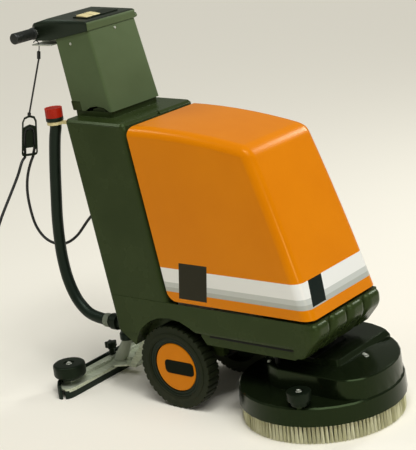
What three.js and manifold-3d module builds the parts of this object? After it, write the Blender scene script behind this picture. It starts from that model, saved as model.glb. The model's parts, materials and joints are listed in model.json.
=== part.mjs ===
// Walk-behind scrubber drier: an orange hood on a dark base and column, a disc brush in front, a squeegee behind.
// Millimetres. +X is forward, +Y the machine's left, +Z up. The floor is z = 0 and the axle lies at x = 0.
import * as THREE from 'three';
import { mergeVertices } from 'three/addons/utils/BufferGeometryUtils.js';
import Module from 'manifold-3d';

const wasm = await Module();
wasm.setup();

// Clearances
const seat = 0.3; // between fixed neighbours
const runGap = 1; // beside a turning piece
const hoseGap = 5; // round the squeegee's flexible hose cuff

// Wheels
const wheelRadius = 117;
const tyreWidth = 45;
const tyreDepth = 32;
const tyreLugs = 38;
const lugDepth = 5;
const hubCapRadius = 68;
const hubCapThickness = 4;
const axleRadius = 10;

// Base and column
const bodyHalfWidth = 154;
const sideLean = 0.0175;
const bodyLean = 0.17;
const trayTop = 302;
const stripBottom = 225;
const panBottom = 197;
const panInset = 10;
const columnRearX = -209.9;
const columnTop = 777;
const lidThickness = 7.5;
const columnTopSlope = 0.02;
const columnRound = 16;
const wall = 5;
const trayFrontX = 462;
const archGap = 25;
const seamGap = 8;

// Front bumper lobes
const lobeCount = 4;
const lobeWidth = 71;
const lobeReach = 14;

// Hood
const hoodBottom = 310;
const hoodRearX = 10.7;
const hoodFrontX = 465;
const hoodFrontLean = 0.363;
const hoodTopRear = 775.5;
const hoodTopCurve = 0.00027;
const hoodFrontBow = 6;
const hoodWall = 4;
const hoodEdge = 28;
const hoodRearTopRound = 14;
const hoodRearBottomRound = 26;
const hingeRodRadius = 4;
const hingePlateDrop = 44;

// Console and control head
const consoleBottom = 799;
const consoleRearX = -294.5;
const consoleFrontX = -152;
const consoleHalfWidth = 98;
const consoleWall = 3;
const consoleFootHeight = 25;
const headThickness = 24;
const headRound = 20;
const handleX = -398;
const handleZ = 1008;
const handleRadius = 12.5;
const gripRadius = 15;
const gripLength = 76;
const handleHalfLength = consoleHalfWidth + gripLength;
const noseReach = 18;
const rockerLength = 38;
const rockerWidth = 27;

// Brush deck
const deckX = 367.7;
const skirtRadius = 220;
const skirtBottom = 50;
const skirtTop = 99;
const deckWall = 4;
const tierRadius = 210;
const tierTop = 150;
const crownTop = 163;
const plateauTop = 175;
const tierFlat = 122;
const brushRadius = 214;
const brushBlockHeight = 30;
const bristleRings = 3;
const bristleRingStep = 16;
const bristleRadius = 4;
const rollerStudRadius = 6;
const deckRollerRadius = 31.5;
const deckRollerHeight = 37;
const deckRollerHub = 23.5;
const deckRollerStep = 12;

// Brush motor and the frame under the base
const motorRadius = 50;
const motorHeight = 186;
const shaftRadius = 12;
const rotorShaftRadius = 8;
const hubRadius = 52;
const hubNeckRadius = 22;
const hubNeckRise = 34;
const shaftRise = 40;
const gearHeight = 62;
const frameThickness = 5;
const frameHalfWidth = 78;
const innerBodyHalfWidth = 100;
const innerBodyBottom = 150;

// Clean water tank, suction motor and solution valve
const tankTop = 530;
const tankHalfWidth = bodyHalfWidth - wall - 13;
const tankWall = 4;
const fillerRadius = 30;
const fillerX = 235;
const fanRadius = 80;
const fanHeight = 54;
const fanShaftRadius = 6;
const suctionMotorRadius = 48;
const suctionMotorHeight = 118;
const ductRadius = 18;
const ductWall = 3;
const pipeTop = columnTop - 87;
const portReach = 44;
const portRise = 20;
const portDrop = 36;
const cageHeight = 64;

// Squeegee
const squeegeeRear = -395;
const squeegeeFront = -336.8;
const squeegeeHalf = 243;
const plateBottom = 24;
const plateThickness = 5;
const ribHeight = 9;
const lipThickness = 5;
const rearLipHeight = 41.4;
const squeegeeRollerRadius = 46;
const squeegeeRollerHeight = 43;
const swingX = -309;
const liftX = -170;
const liftZ = 148;
const hoseRadius = 17;

// Drain hose and mains cable
const drainRadius = 16;
const drainY = -bodyHalfWidth + 33;
const outletZ = 207;
const capRadius = 23;
const capHeight = 26;
const cableRadius = 4;
const cableLength = 10000;
const coilMeanRadius = 72;
const coilPitch = 9.5;
const coilLayers = 4;

// Round shapes get this many sides
const round = 32;
const fine = 24;
const medium = 12;
const small = 8;
const tiny = 6;
const roundSteps = 3;
const cornerSteps = 2;

const material = (color, roughness, metalness) => new THREE.MeshStandardMaterial({ color, roughness, metalness });
const darkPlastic = material(0x39432c, 0.6, 0);
const blackPlastic = material(0x17191a, 0.55, 0);
const orangePlastic = material(0xd97a0b, 0.35, 0);
const greyPlastic = material(0x8b9483, 0.5, 0);
const creamPlastic = material(0xf0e2b6, 0.4, 0);
const redPlastic = material(0xc3201b, 0.4, 0);
const clearPlastic = material(0xdedfd8, 0.4, 0);
const tyreRubber = material(0x1d211b, 0.85, 0);
const blackRubber = material(0x15181a, 0.8, 0);
const zinc = material(0xb9bfae, 0.4, 0.9);
const steel = material(0x9aa0a2, 0.35, 1);
const bristleNylon = material(0xe4dcc0, 0.7, 0);

const machine = new THREE.Group();

// Solids from three.js geometry, and their joins and cuts
function solidOf(geometry) {
  const loose = geometry.index ? geometry.toNonIndexed() : geometry;
  const bare = new THREE.BufferGeometry().setAttribute('position', loose.getAttribute('position'));
  const merged = mergeVertices(bare, 1e-4);
  const corners = [];
  const index = merged.index.array;
  for (let i = 0; i < index.length; i += 3) {
    const [a, b, c] = [index[i], index[i + 1], index[i + 2]];
    if (a !== b && b !== c && c !== a) corners.push(a, b, c);
  }
  const vertProperties = merged.attributes.position.array;
  return new wasm.Manifold(new wasm.Mesh({ numProp: 3, vertProperties, triVerts: new Uint32Array(corners) }));
}

const join = (first, ...rest) => rest.reduce((sum, next) => sum.add(next), first);
const cut = (first, ...rest) => rest.reduce((left, next) => left.subtract(next), first);
const common = (first, ...rest) => rest.reduce((left, next) => left.intersect(next), first);

function addMesh(name, solid, finish, parent = machine) {
  const { vertProperties, triVerts } = solid.getMesh();
  const indexed = new THREE.BufferGeometry();
  indexed.setAttribute('position', new THREE.BufferAttribute(new Float32Array(vertProperties), 3));
  indexed.setIndex(new THREE.BufferAttribute(new Uint32Array(triVerts), 1));
  const geometry = indexed.toNonIndexed();
  geometry.computeVertexNormals();
  const mesh = new THREE.Mesh(geometry, finish);
  mesh.name = name;
  parent.add(mesh);
  return mesh;
}

function box(x0, x1, y0, y1, z0, z1) {
  const block = new THREE.BoxGeometry(x1 - x0, y1 - y0, z1 - z0);
  return solidOf(block.translate((x0 + x1) / 2, (y0 + y1) / 2, (z0 + z1) / 2));
}

function rodY(x, z, radius, y0, y1, sides = medium) {
  const rod = new THREE.CylinderGeometry(radius, radius, y1 - y0, sides);
  return solidOf(rod.translate(x, (y0 + y1) / 2, z));
}

function rodZ(x, y, radius, z0, z1, sides = medium, topRadius = radius) {
  const rod = new THREE.CylinderGeometry(topRadius, radius, z1 - z0, sides);
  return solidOf(rod.rotateX(Math.PI / 2).translate(x, y, (z0 + z1) / 2));
}

function rodX(y, z, radius, x0, x1, sides = medium) {
  const rod = new THREE.CylinderGeometry(radius, radius, x1 - x0, sides);
  return solidOf(rod.rotateZ(-Math.PI / 2).translate((x0 + x1) / 2, y, z));
}

// A straight rod between two points given as [x, y, z]
function rodBetween(from, to, radius, sides = medium, endRadius = radius) {
  const start = new THREE.Vector3(...from);
  const span = new THREE.Vector3(...to).sub(start);
  const rod = new THREE.CylinderGeometry(endRadius, radius, span.length(), sides);
  const turn = new THREE.Quaternion().setFromUnitVectors(new THREE.Vector3(0, 1, 0), span.clone().normalize());
  const middle = start.addScaledVector(span, 0.5);
  return solidOf(rod.applyQuaternion(turn).translate(middle.x, middle.y, middle.z));
}

// A profile of [radius, height] pairs turned about +Z, or about +Y with turnedY
function turned(profile, sides = medium) {
  const area = profile.reduce((sum, [r, h], i) => {
    const [nextR, nextH] = profile[(i + 1) % profile.length];
    return sum + r * nextH - nextR * h;
  }, 0);
  const outline = area > 0 ? profile : [...profile].reverse();
  const points = [...outline, outline[0]].map(([r, h]) => new THREE.Vector2(r, h));
  return solidOf(new THREE.LatheGeometry(points, sides).rotateX(Math.PI / 2));
}

const turnedY = (profile, sides) => turned(profile, sides).rotate([-90, 0, 0]);

const outlineShape = (points) => new THREE.Shape(points.map(([a, b]) => new THREE.Vector2(a, b)));

function extrudeZ(points, z0, z1) {
  const slab = new THREE.ExtrudeGeometry(outlineShape(points), { depth: z1 - z0, bevelEnabled: false });
  return solidOf(slab.translate(0, 0, z0));
}

// The outline is in X and Z
function extrudeY(points, y0, y1) {
  const slab = new THREE.ExtrudeGeometry(outlineShape(points), { depth: y1 - y0, bevelEnabled: false });
  return solidOf(slab.rotateX(Math.PI / 2).translate(0, y1, 0));
}

// The outline is in Y and Z
function extrudeX(points, x0, x1) {
  const slab = new THREE.ExtrudeGeometry(outlineShape(points), { depth: x1 - x0, bevelEnabled: false });
  const axes = new THREE.Matrix4().makeBasis(
    new THREE.Vector3(0, 1, 0),
    new THREE.Vector3(0, 0, 1),
    new THREE.Vector3(1, 0, 0),
  );
  return solidOf(slab.applyMatrix4(axes).translate(x0, 0, 0));
}

// An outline whose corners are rounded: each point is [a, b, radius]
function rounded(points, steps = cornerSteps) {
  const outline = [];
  points.forEach(([a, b, radius = 0], i) => {
    const corner = new THREE.Vector2(a, b);
    if (radius <= 0) {
      outline.push([a, b]);
      return;
    }
    const before = new THREE.Vector2(...points[(i + points.length - 1) % points.length].slice(0, 2)).sub(corner);
    const after = new THREE.Vector2(...points[(i + 1) % points.length].slice(0, 2)).sub(corner);
    const reach = 0.48 * Math.min(before.length(), after.length());
    before.normalize();
    after.normalize();
    const half = Math.acos(THREE.MathUtils.clamp(before.dot(after), -1, 1)) / 2;
    const tangent = Math.min(radius / Math.tan(half), reach);
    const inner = tangent * Math.tan(half);
    const middle = before.clone().add(after).normalize().multiplyScalar(tangent / Math.cos(half)).add(corner);
    const first = before.clone().multiplyScalar(tangent).add(corner).sub(middle).angle();
    let sweep = after.clone().multiplyScalar(tangent).add(corner).sub(middle).angle() - first;
    if (sweep > Math.PI) sweep -= 2 * Math.PI;
    if (sweep < -Math.PI) sweep += 2 * Math.PI;
    for (let s = 0; s <= steps; s += 1) {
      const angle = first + (sweep * s) / steps;
      outline.push([middle.x + inner * Math.cos(angle), middle.y + inner * Math.sin(angle)]);
    }
  });
  return outline;
}

// A closed skin over rings of equal length, each a list of [x, y, z] that runs anticlockwise seen from above.
// The lids are ladders of quads when the rings are mirrored about y = 0.
function loft(rings, mirrored = false) {
  const vertices = rings.flat(2);
  const count = rings[0].length;
  const faces = [];
  for (let r = 0; r + 1 < rings.length; r += 1) {
    for (let i = 0; i < count; i += 1) {
      const [a, b] = [r * count + i, r * count + ((i + 1) % count)];
      faces.push(a, b, b + count, a, b + count, a + count);
    }
  }
  const lidOf = (ring) => {
    if (!mirrored) return THREE.ShapeUtils.triangulateShape(ring.map(([x, y]) => new THREE.Vector2(x, y)), []);
    const ladder = [];
    for (let k = 0; k + 1 < count / 2; k += 1) {
      ladder.push([k, k + 1, count - 2 - k], [k, count - 2 - k, count - 1 - k]);
    }
    return ladder;
  };
  const last = (rings.length - 1) * count;
  for (const [a, b, c] of lidOf(rings[0])) faces.push(c, b, a);
  for (const [a, b, c] of lidOf(rings.at(-1))) faces.push(last + a, last + b, last + c);
  const geometry = new THREE.BufferGeometry();
  geometry.setAttribute('position', new THREE.Float32BufferAttribute(vertices, 3));
  geometry.setIndex(faces);
  return solidOf(geometry);
}

// A round tube along a smooth curve through points
function tubeAlong(points, radius, sides, steps) {
  const path = new THREE.CatmullRomCurve3(points.map((p) => new THREE.Vector3(...p)), false, 'centripetal');
  const section = [];
  for (let i = 0; i < sides; i += 1) {
    const angle = (2 * Math.PI * i) / sides;
    section.push([radius * Math.cos(angle), radius * Math.sin(angle)]);
  }
  return solidOf(new THREE.ExtrudeGeometry(outlineShape(section), { steps, extrudePath: path, bevelEnabled: false }));
}

// A hole whose flats clear a round piece of this radius
const boreFor = (radius, sides, clearance = seat) => (radius + clearance) / Math.cos(Math.PI / sides);

// A hole round a piece of the same facets that does not turn in it
const seatFor = (radius, sides) => radius + seat / Math.cos(Math.PI / sides);

// A box that leans, tapers and has a sloping or cambered top, as the hood, column and console do.
// Its rear and front lines and its half width are functions of height; edge rounds the top.
function leaningBox(shape) {
  const { rear, front, half, frontHalf = half, bottom, topLine, levels = [], edge, corner } = shape;
  const { rearCorner = corner, footCorner = corner, sideSteps = 1 } = shape;
  const ringAt = (depth, inset, flatZ) => {
    const heightAt = (x) => (flatZ === undefined ? topLine(x) - depth : flatZ);
    const solve = (line) => {
      let x = line(heightAt(0));
      for (let pass = 0; pass < 8; pass += 1) x = line(heightAt(x));
      return x;
    };
    const x0 = solve(rear) + (rearCorner > 1 ? inset : 0);
    const x1 = solve(front) - inset;
    const rearWidth = half(heightAt(x0)) - inset;
    const frontWidth = frontHalf(heightAt(x1)) - inset;
    const cornerHere = flatZ === undefined ? corner : footCorner + ((corner - footCorner) * (flatZ - bottom)) / (topLine(x1) - bottom);
    const frontRound = Math.max(cornerHere - inset, 1);
    const rearRound = Math.max(rearCorner - inset, 0.5);
    const near = [[x0, -rearWidth, rearRound]];
    for (let s = 1; s < sideSteps; s += 1) {
      near.push([x0 + ((x1 - x0) * s) / sideSteps, -rearWidth - ((frontWidth - rearWidth) * s) / sideSteps]);
    }
    near.push([x1, -frontWidth, frontRound]);
    const far = [...near].reverse().map(([x, y, round = 0]) => [x, -y, round]);
    return rounded([...near, ...far], roundSteps).map(([x, y]) => [x, y, heightAt(x)]);
  };
  const rings = [bottom, ...levels].map((level) => ringAt(0, 0, level));
  const steps = edge > 6 ? roundSteps : 1;
  for (let s = 0; s <= steps; s += 1) {
    const angle = (Math.PI / 2) * (s / steps);
    rings.push(ringAt(edge * (1 - Math.sin(angle)), edge * (1 - Math.cos(angle))));
  }
  return loft(rings, true);
}

// Lines shared by the body's pieces, as functions of height
const columnRear = (z) => columnRearX - bodyLean * (z - hoodBottom);
const hoodRear = (z) => hoodRearX - bodyLean * (z - hoodBottom);
const columnFront = (z) => hoodRear(z) - seamGap;
const hoodTopAt = (x) => hoodTopRear - hoodTopCurve * (x - hoodRear(hoodTopRear)) ** 2;
function hoodFront(z) {
  const part = (z - hoodBottom) / (hoodTopRear - hoodBottom);
  return hoodFrontX - hoodFrontLean * (z - hoodBottom) + 4 * hoodFrontBow * part * (1 - part);
}
const bodyHalf = (z) => bodyHalfWidth - sideLean * Math.max(z - trayTop, 0);
const columnTopAt = (x) => columnTop - columnTopSlope * (x - columnRear(columnTop));
const archRadius = wheelRadius + archGap;
const wheelInnerY = bodyHalfWidth - tyreWidth;
const rearFoot = [columnRear(200), 200];
const rearToe = [-131, 160];

// The suction stub comes out of the base's rear slope at right angles to it
const slope = new THREE.Vector2(rearToe[0] - rearFoot[0], rearToe[1] - rearFoot[1]).normalize();
const stubAxis = [-slope.y, 0, slope.x];
const slopeMiddle = [(rearToe[0] + rearFoot[0]) / 2 - 3, 0, (rearToe[1] + rearFoot[1]) / 2 + 2];
const alongStub = (distance) => slopeMiddle.map((value, i) => value + stubAxis[i] * distance);

// Base: column with the recovery tank, tray for the clean water side, wheel arches and front lobes
function makeBase() {
  const column = leaningBox({
    rear: columnRear,
    front: columnFront,
    half: bodyHalf,
    bottom: rearFoot[1],
    topLine: columnTopAt,
    edge: 0.6,
    corner: columnRound,
  });
  const strip = extrudeY(
    rounded([
      [columnRear(stripBottom) + columnRound, stripBottom],
      [trayFrontX - 26, stripBottom],
      [trayFrontX, trayTop - 38, 12],
      [trayFrontX, trayTop, 6],
      [columnFront(trayTop) - 30, trayTop],
      [columnRear(trayTop) + columnRound, trayTop],
    ]),
    -bodyHalfWidth,
    bodyHalfWidth,
  );
  const rearSkirt = extrudeY(
    [[rearFoot[0] + 3, rearFoot[1] + 1], rearToe, [-60, rearToe[1]], [-60, stripBottom + 4], [rearFoot[0] + 3, stripBottom + 4]],
    -bodyHalfWidth + 4,
    bodyHalfWidth - 4,
  );
  const pan = extrudeY(
    rounded([
      [100, panBottom],
      [trayFrontX - 62, panBottom, 8],
      [trayFrontX - 26, stripBottom + 4],
      [100, stripBottom + 4],
    ]),
    -bodyHalfWidth + panInset,
    bodyHalfWidth - panInset,
  );
  const innerBody = box(-131, 131, -innerBodyHalfWidth, innerBodyHalfWidth, innerBodyBottom, stripBottom + 4);
  const lobes = [];
  for (let k = 0; k < lobeCount; k += 1) {
    const middle = (k - (lobeCount - 1) / 2) * ((2 * bodyHalfWidth) / lobeCount + 1);
    const nose = trayFrontX + lobeReach;
    const side = extrudeY(
      rounded([
        [nose - 55, panBottom + 13, 8],
        [nose - 46, panBottom + 13, 10],
        [nose, trayTop - 34, 16],
        [nose, trayTop - 2, 10],
        [nose - 55, trayTop - 2],
      ]),
      middle - lobeWidth / 2,
      middle + lobeWidth / 2,
    );
    const plan = extrudeZ(
      rounded([
        [nose - 60, middle - lobeWidth / 2, 1],
        [nose, middle - lobeWidth / 2, 20],
        [nose, middle + lobeWidth / 2, 20],
        [nose - 60, middle + lobeWidth / 2, 1],
      ]),
      panBottom,
      trayTop + 5,
    );
    lobes.push(common(side, plan));
  }
  const section = extrudeX(
    rounded([
      [-bodyHalfWidth, stripBottom, 12],
      [bodyHalfWidth, stripBottom, 12],
      [bodyHalfWidth, trayTop + 5],
      [-bodyHalfWidth, trayTop + 5],
    ]),
    -300,
    trayFrontX + 10,
  );
  const planRound = extrudeZ(
    rounded([
      [-300, -bodyHalfWidth - 1],
      [trayFrontX, -bodyHalfWidth - 1, 24],
      [trayFrontX, bodyHalfWidth + 1, 24],
      [-300, bodyHalfWidth + 1],
    ]),
    panBottom - 5,
    trayTop + 5,
  );
  const outer = join(column, common(strip, section, planRound), rearSkirt, pan, innerBody, ...lobes);
  const arches = [-1, 1].map((side) => {
    const inner = side * (wheelInnerY - 5);
    const outside = side * (bodyHalfWidth + 20);
    return rodY(0, wheelRadius, archRadius, Math.min(inner, outside), Math.max(inner, outside), fine);
  });
  const archTop = wheelRadius + archRadius + wall + 1;
  const recovery = leaningBox({
    rear: (z) => columnRear(z) + wall,
    front: (z) => columnFront(z) - wall,
    half: (z) => bodyHalf(z) - wall,
    bottom: archTop,
    topLine: () => columnTop + 30,
    edge: 2,
    corner: columnRound - wall,
  });
  const rearSump = box(columnRear(206) + wall + 2, -125, -bodyHalfWidth + 15, bodyHalfWidth - 15, 206, archTop + 3);
  const rearSumpClear = box(-archRadius - 6, -125, -bodyHalfWidth, bodyHalfWidth, 190, archTop + 3);
  const midSumpHalf = wheelInnerY - 15;
  const sump = join(
    cut(rearSump, cut(rearSumpClear, box(-200, 0, -midSumpHalf, midSumpHalf, 180, archTop + 5))),
    box(-126, columnFront(archTop) - wall - 6, -midSumpHalf, midSumpHalf, innerBodyBottom + wall + 1, archTop + 3),
  );
  const frontRoom = box(archRadius + 12, trayFrontX - 36, -bodyHalfWidth + wall + panInset, bodyHalfWidth - wall - panInset, panBottom + wall + 1, trayTop + 9);
  const rearRoom = box(columnFront(trayTop) + 18, archRadius + 13, -bodyHalfWidth + wall, bodyHalfWidth - wall, archTop, trayTop + 9);
  return cut(
    outer,
    ...arches,
    recovery,
    sump,
    frontRoom,
    rearRoom,
    rodBetween(alongStub(-60), alongStub(44), boreFor(hoseRadius, medium, 2 * seat), medium),
    rodZ(deckX, 0, shaftRadius + 12, panBottom - 5, panBottom + 20),
    rodZ(valveX, valveY, boreFor(7, small), panBottom - 5, panBottom + 20, small),
    rodX(0, ductZ, boreFor(ductRadius + ductWall, small), columnFront(ductZ) - 12, columnFront(ductZ) + 12, small),
    rodX(drainY, outletZ, boreFor(drainRadius - 4, medium), rearFoot[0] - 20, rearFoot[0] + 14),
    rodX(glandY, glandZ, boreFor(glandRadius - 4, small), columnRear(glandZ) - 12, columnRear(glandZ) + 12, small),
  );
}

const valveX = deckX - 66;
const valveY = -92;
const ductZ = tankTop + seat + suctionMotorHeight + fanHeight / 2;
const glandY = -78;
const glandZ = 536;
const glandRadius = 12;

// Wheels: tyre, rim and hub cap on a fixed axle
function makeWheel(side, label) {
  const wheel = new THREE.Group();
  wheel.position.set(0, side * (bodyHalfWidth - tyreWidth / 2), wheelRadius);
  machine.add(wheel);
  const half = tyreWidth / 2;
  const bead = wheelRadius - tyreDepth;
  const tread = [];
  for (let k = 0; k < tyreLugs; k += 1) {
    const lug = (2 * Math.PI) / tyreLugs;
    const middle = k * lug - Math.PI / 2;
    for (const [offset, radius] of [[-0.3, 0], [0.3, 0], [0.5, -lugDepth]]) {
      const angle = middle + offset * lug;
      tread.push([(wheelRadius + radius) * Math.cos(angle), (wheelRadius + radius) * Math.sin(angle)]);
    }
  }
  const tyre = cut(extrudeY(tread, -half, half), rodY(0, 0, bead, -half - 1, half + 1, fine));
  addMesh(`tyre_${label}`, tyre, tyreRubber, wheel);

  const rimRadius = bead - seat;
  const outer = side * half;
  const faceY = (depth) => outer - side * depth;
  const rim = turnedY(
    [
      [boreFor(axleRadius, fine), faceY(tyreWidth - 4)],
      [24, faceY(tyreWidth - 4)],
      [26, faceY(16)],
      [rimRadius, faceY(16)],
      [rimRadius, faceY(4)],
      [hubCapRadius + 1, faceY(4)],
      [hubCapRadius + 1, faceY(9)],
      [boreFor(axleRadius, fine), faceY(9)],
    ],
    fine,
  );
  addMesh(`rim_${label}`, rim, blackPlastic, wheel);
  const cap = turnedY(
    [
      [0, faceY(9 - seat - hubCapThickness)],
      [0, faceY(9 - seat)],
      [hubCapRadius, faceY(9 - seat)],
      [hubCapRadius, faceY(9 - seat - hubCapThickness + 1)],
      [hubCapRadius - 2, faceY(9 - seat - hubCapThickness)],
    ],
    fine,
  );
  addMesh(`hub_cap_${label}`, cap, orangePlastic, wheel);
}

// Steel frame under the base: it carries the axle, the brush deck and the squeegee's ears
function makeFrame() {
  const rearTop = innerBodyBottom - seat;
  const frontTop = panBottom - seat;
  const stepX = 131 + seat;
  const carrierBottom = plateauTop + seat;
  const rearPlate = box(-126, stepX + frameThickness, -frameHalfWidth - 12, frameHalfWidth + 12, rearTop - frameThickness, rearTop);
  const step = box(stepX, stepX + frameThickness, -frameHalfWidth, frameHalfWidth, rearTop - frameThickness, frontTop);
  const frontPlate = box(stepX, deckX + 35, -frameHalfWidth, frameHalfWidth, frontTop - frameThickness, frontTop);
  const carrierPlate = box(deckX - 90, deckX + 36, -frameHalfWidth + 4, frameHalfWidth - 4, carrierBottom, carrierBottom + 3);
  const rib = box(deckX - 88, deckX - 60, -40, 40, carrierBottom, frontTop - 2);
  const cheeks = [-1, 1].map((side) => {
    const outline = [[-24, rearTop - 2], [-16, wheelRadius - 18], [16, wheelRadius - 18], [24, rearTop - 2]];
    return extrudeY(outline, side * 86 - 3, side * 86 + 3);
  });
  const ears = [-1, 1].map((side) => {
    const outline = rounded([
      [-112, rearTop - 1],
      [-136, rearTop - 1],
      [liftX - 6, liftZ + 11, 10],
      [liftX - 14, liftZ - 12, 13],
      [-126, rearTop - 26, 10],
      [-112, rearTop - 14],
    ]);
    const plate = extrudeY(outline, side * 40 - 2.5, side * 40 + 2.5);
    const stud = rodY(liftX, liftZ, 5, side * 34 - 5, side * 34 + 5, small);
    return join(plate, stud);
  });
  const whole = join(rearPlate, step, frontPlate, carrierPlate, rib, ...cheeks, ...ears);
  return cut(
    whole,
    rodY(0, wheelRadius, seatFor(axleRadius, small), -100, 100, small),
    rodZ(deckX, 0, shaftRadius + 10, plateauTop - 5, panBottom + 5, small),
  );
}

// Outline of the deck's upper tier about the brush centre: flat beside the roller, round in front
function tierOutline(scale, grow = 0) {
  const radius = tierRadius + grow;
  const flat = tierFlat + grow;
  const rear = -112 - grow;
  const points = [
    [rear, -flat, 66],
    [Math.sqrt(radius * radius - flat * flat) - 14, -flat, 70],
  ];
  for (let degrees = -24; degrees <= 116; degrees += 10) {
    const angle = THREE.MathUtils.degToRad(degrees);
    points.push([radius * Math.cos(angle), radius * Math.sin(angle)]);
  }
  points.push([rear, radius * 0.87, 20]);
  return rounded(points).map(([x, y]) => [deckX + x * scale, y * scale]);
}

function makeDeck() {
  const tierRings = (inset, top) => [
    [1.012, skirtTop - 2 - inset],
    [1, top],
    [0.985, top + 3],
    [0.62, crownTop - inset],
  ].map(([scale, z]) => tierOutline(scale, -inset).map(([x, y]) => [x, y, z]));
  const skirt = turned(
    [
      [0, skirtBottom],
      [skirtRadius, skirtBottom],
      [skirtRadius - 3, skirtTop - 4],
      [skirtRadius - 7, skirtTop],
      [0, skirtTop],
    ],
    round,
  ).translate([deckX, 0, 0]);
  const tier = loft(tierRings(0, tierTop));
  const plateauOutline = (grow) => {
    const points = [[-96 - grow, -64 - grow, 12], [100 + grow, -64 - grow, 16]];
    const far = tierRadius - 14 + grow;
    points.push([100 + grow, Math.sqrt(far * far - (100 + grow) ** 2)]);
    for (let degrees = 66; degrees <= 112; degrees += 11.5) {
      const angle = THREE.MathUtils.degToRad(degrees);
      points.push([far * Math.cos(angle), far * Math.sin(angle)]);
    }
    points.push([-96 - grow, far * 0.87, 12]);
    return rounded(points).map(([x, y]) => [deckX + x, y]);
  };
  const plateau = loft([
    plateauOutline(9).map(([x, y]) => [x, y, tierTop - 6]),
    plateauOutline(9).map(([x, y]) => [x, y, crownTop - 2]),
    plateauOutline(0).map(([x, y]) => [x, y, plateauTop]),
  ]);
  const stud = join(
    rodZ(rollerX, rollerY, 14, skirtTop - 5, skirtTop + 5, small),
    rodZ(rollerX, rollerY, rollerStudRadius, skirtTop, skirtTop + 5 + runGap + deckRollerHeight - 4, small),
  );
  const outer = join(skirt, tier, plateau, stud);
  const inner = join(
    rodZ(deckX, 0, skirtRadius - deckWall, skirtBottom - 1, skirtTop - deckWall - 1, round),
    loft(tierRings(deckWall, tierTop - deckWall)),
  );
  return cut(
    outer,
    inner,
    rodZ(deckX, 0, shaftRadius + 8, skirtTop, plateauTop + 5),
    rodZ(valveX, valveY, boreFor(7, small), skirtTop + 20, plateauTop + 5, small),
  );
}

const rollerX = deckX + 66;
const rollerY = -191;

// Brush: bristles fused to the lowest slice of their block, the block, and the hub on the motor's shaft
function makeBrush() {
  const sliceBottom = skirtBottom;
  const sliceTop = sliceBottom + 6;
  const blockTop = sliceTop + seat + brushBlockHeight;
  const strands = [];
  for (let ringIndex = 0; ringIndex < bristleRings; ringIndex += 1) {
    const radius = brushRadius - bristleRadius - 1 - ringIndex * bristleRingStep;
    const count = 90 - 18 * ringIndex;
    for (let k = 0; k < count; k += 1) {
      const angle = (2 * Math.PI * k) / count;
      const strand = rodZ(0, 0, bristleRadius, 0, sliceBottom + 1, 3);
      strands.push(strand.rotate([0, 0, 37 * k]).translate([radius * Math.cos(angle), radius * Math.sin(angle), 0]));
    }
  }
  const slice = rodZ(0, 0, brushRadius, sliceBottom, sliceTop, round);
  const bristles = join(slice, wasm.Manifold.union(strands)).translate([deckX, 0, 0]);
  addMesh('brush_bristles', bristles, bristleNylon);
  const block = turned(
    [[30, sliceTop + seat], [brushRadius - 1, sliceTop + seat], [brushRadius - 1, blockTop - 8], [brushRadius - 12, blockTop], [30, blockTop]],
    fine,
  ).translate([deckX, 0, 0]);
  addMesh('brush_block', block, blackPlastic);
  const hub = turned(
    [
      [0, sliceTop + 8],
      [30 - seat - 0.4, sliceTop + 8],
      [30 - seat - 0.4, blockTop + seat],
      [hubRadius, blockTop + seat],
      [hubRadius, blockTop + 9],
      [hubNeckRadius, blockTop + 14],
      [hubNeckRadius, skirtTop + hubNeckRise],
      [shaftRadius, skirtTop + hubNeckRise],
      [shaftRadius, panBottom + wall + shaftRise],
      [0, panBottom + wall + shaftRise],
    ],
    medium,
  ).translate([deckX, 0, 0]);
  addMesh('brush_hub', hub, steel);
}

// Brush motor with its gear case; the rotor turns inside it and drives the hub
function makeBrushMotor() {
  const foot = panBottom + wall + 1 + seat;
  const top = foot + motorHeight;
  const room = foot + gearHeight;
  const shaftBore = boreFor(shaftRadius, medium);
  const rotorBore = boreFor(rotorShaftRadius, medium);
  const shell = turned(
    [
      [shaftBore, foot],
      [motorRadius + 7, foot],
      [motorRadius + 7, foot + 10],
      [motorRadius, foot + 10],
      [motorRadius, top - 8],
      [motorRadius - 8, top],
      [rotorBore, top],
      [rotorBore, top - 12],
      [motorRadius - 6, top - 12],
      [motorRadius - 6, room],
      [shaftBore, room],
    ],
    medium,
  ).translate([deckX, 0, 0]);
  addMesh('brush_motor', shell, steel);
  const rotor = turned(
    [
      [0, room - 12],
      [rotorShaftRadius, room - 12],
      [rotorShaftRadius, room + 12],
      [motorRadius - 16, room + 12],
      [motorRadius - 16, top - 26],
      [rotorShaftRadius, top - 26],
      [rotorShaftRadius, top + 3],
      [0, top + 3],
    ],
    medium,
  ).translate([deckX, 0, 0]);
  addMesh('motor_rotor', rotor, steel);
}

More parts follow.
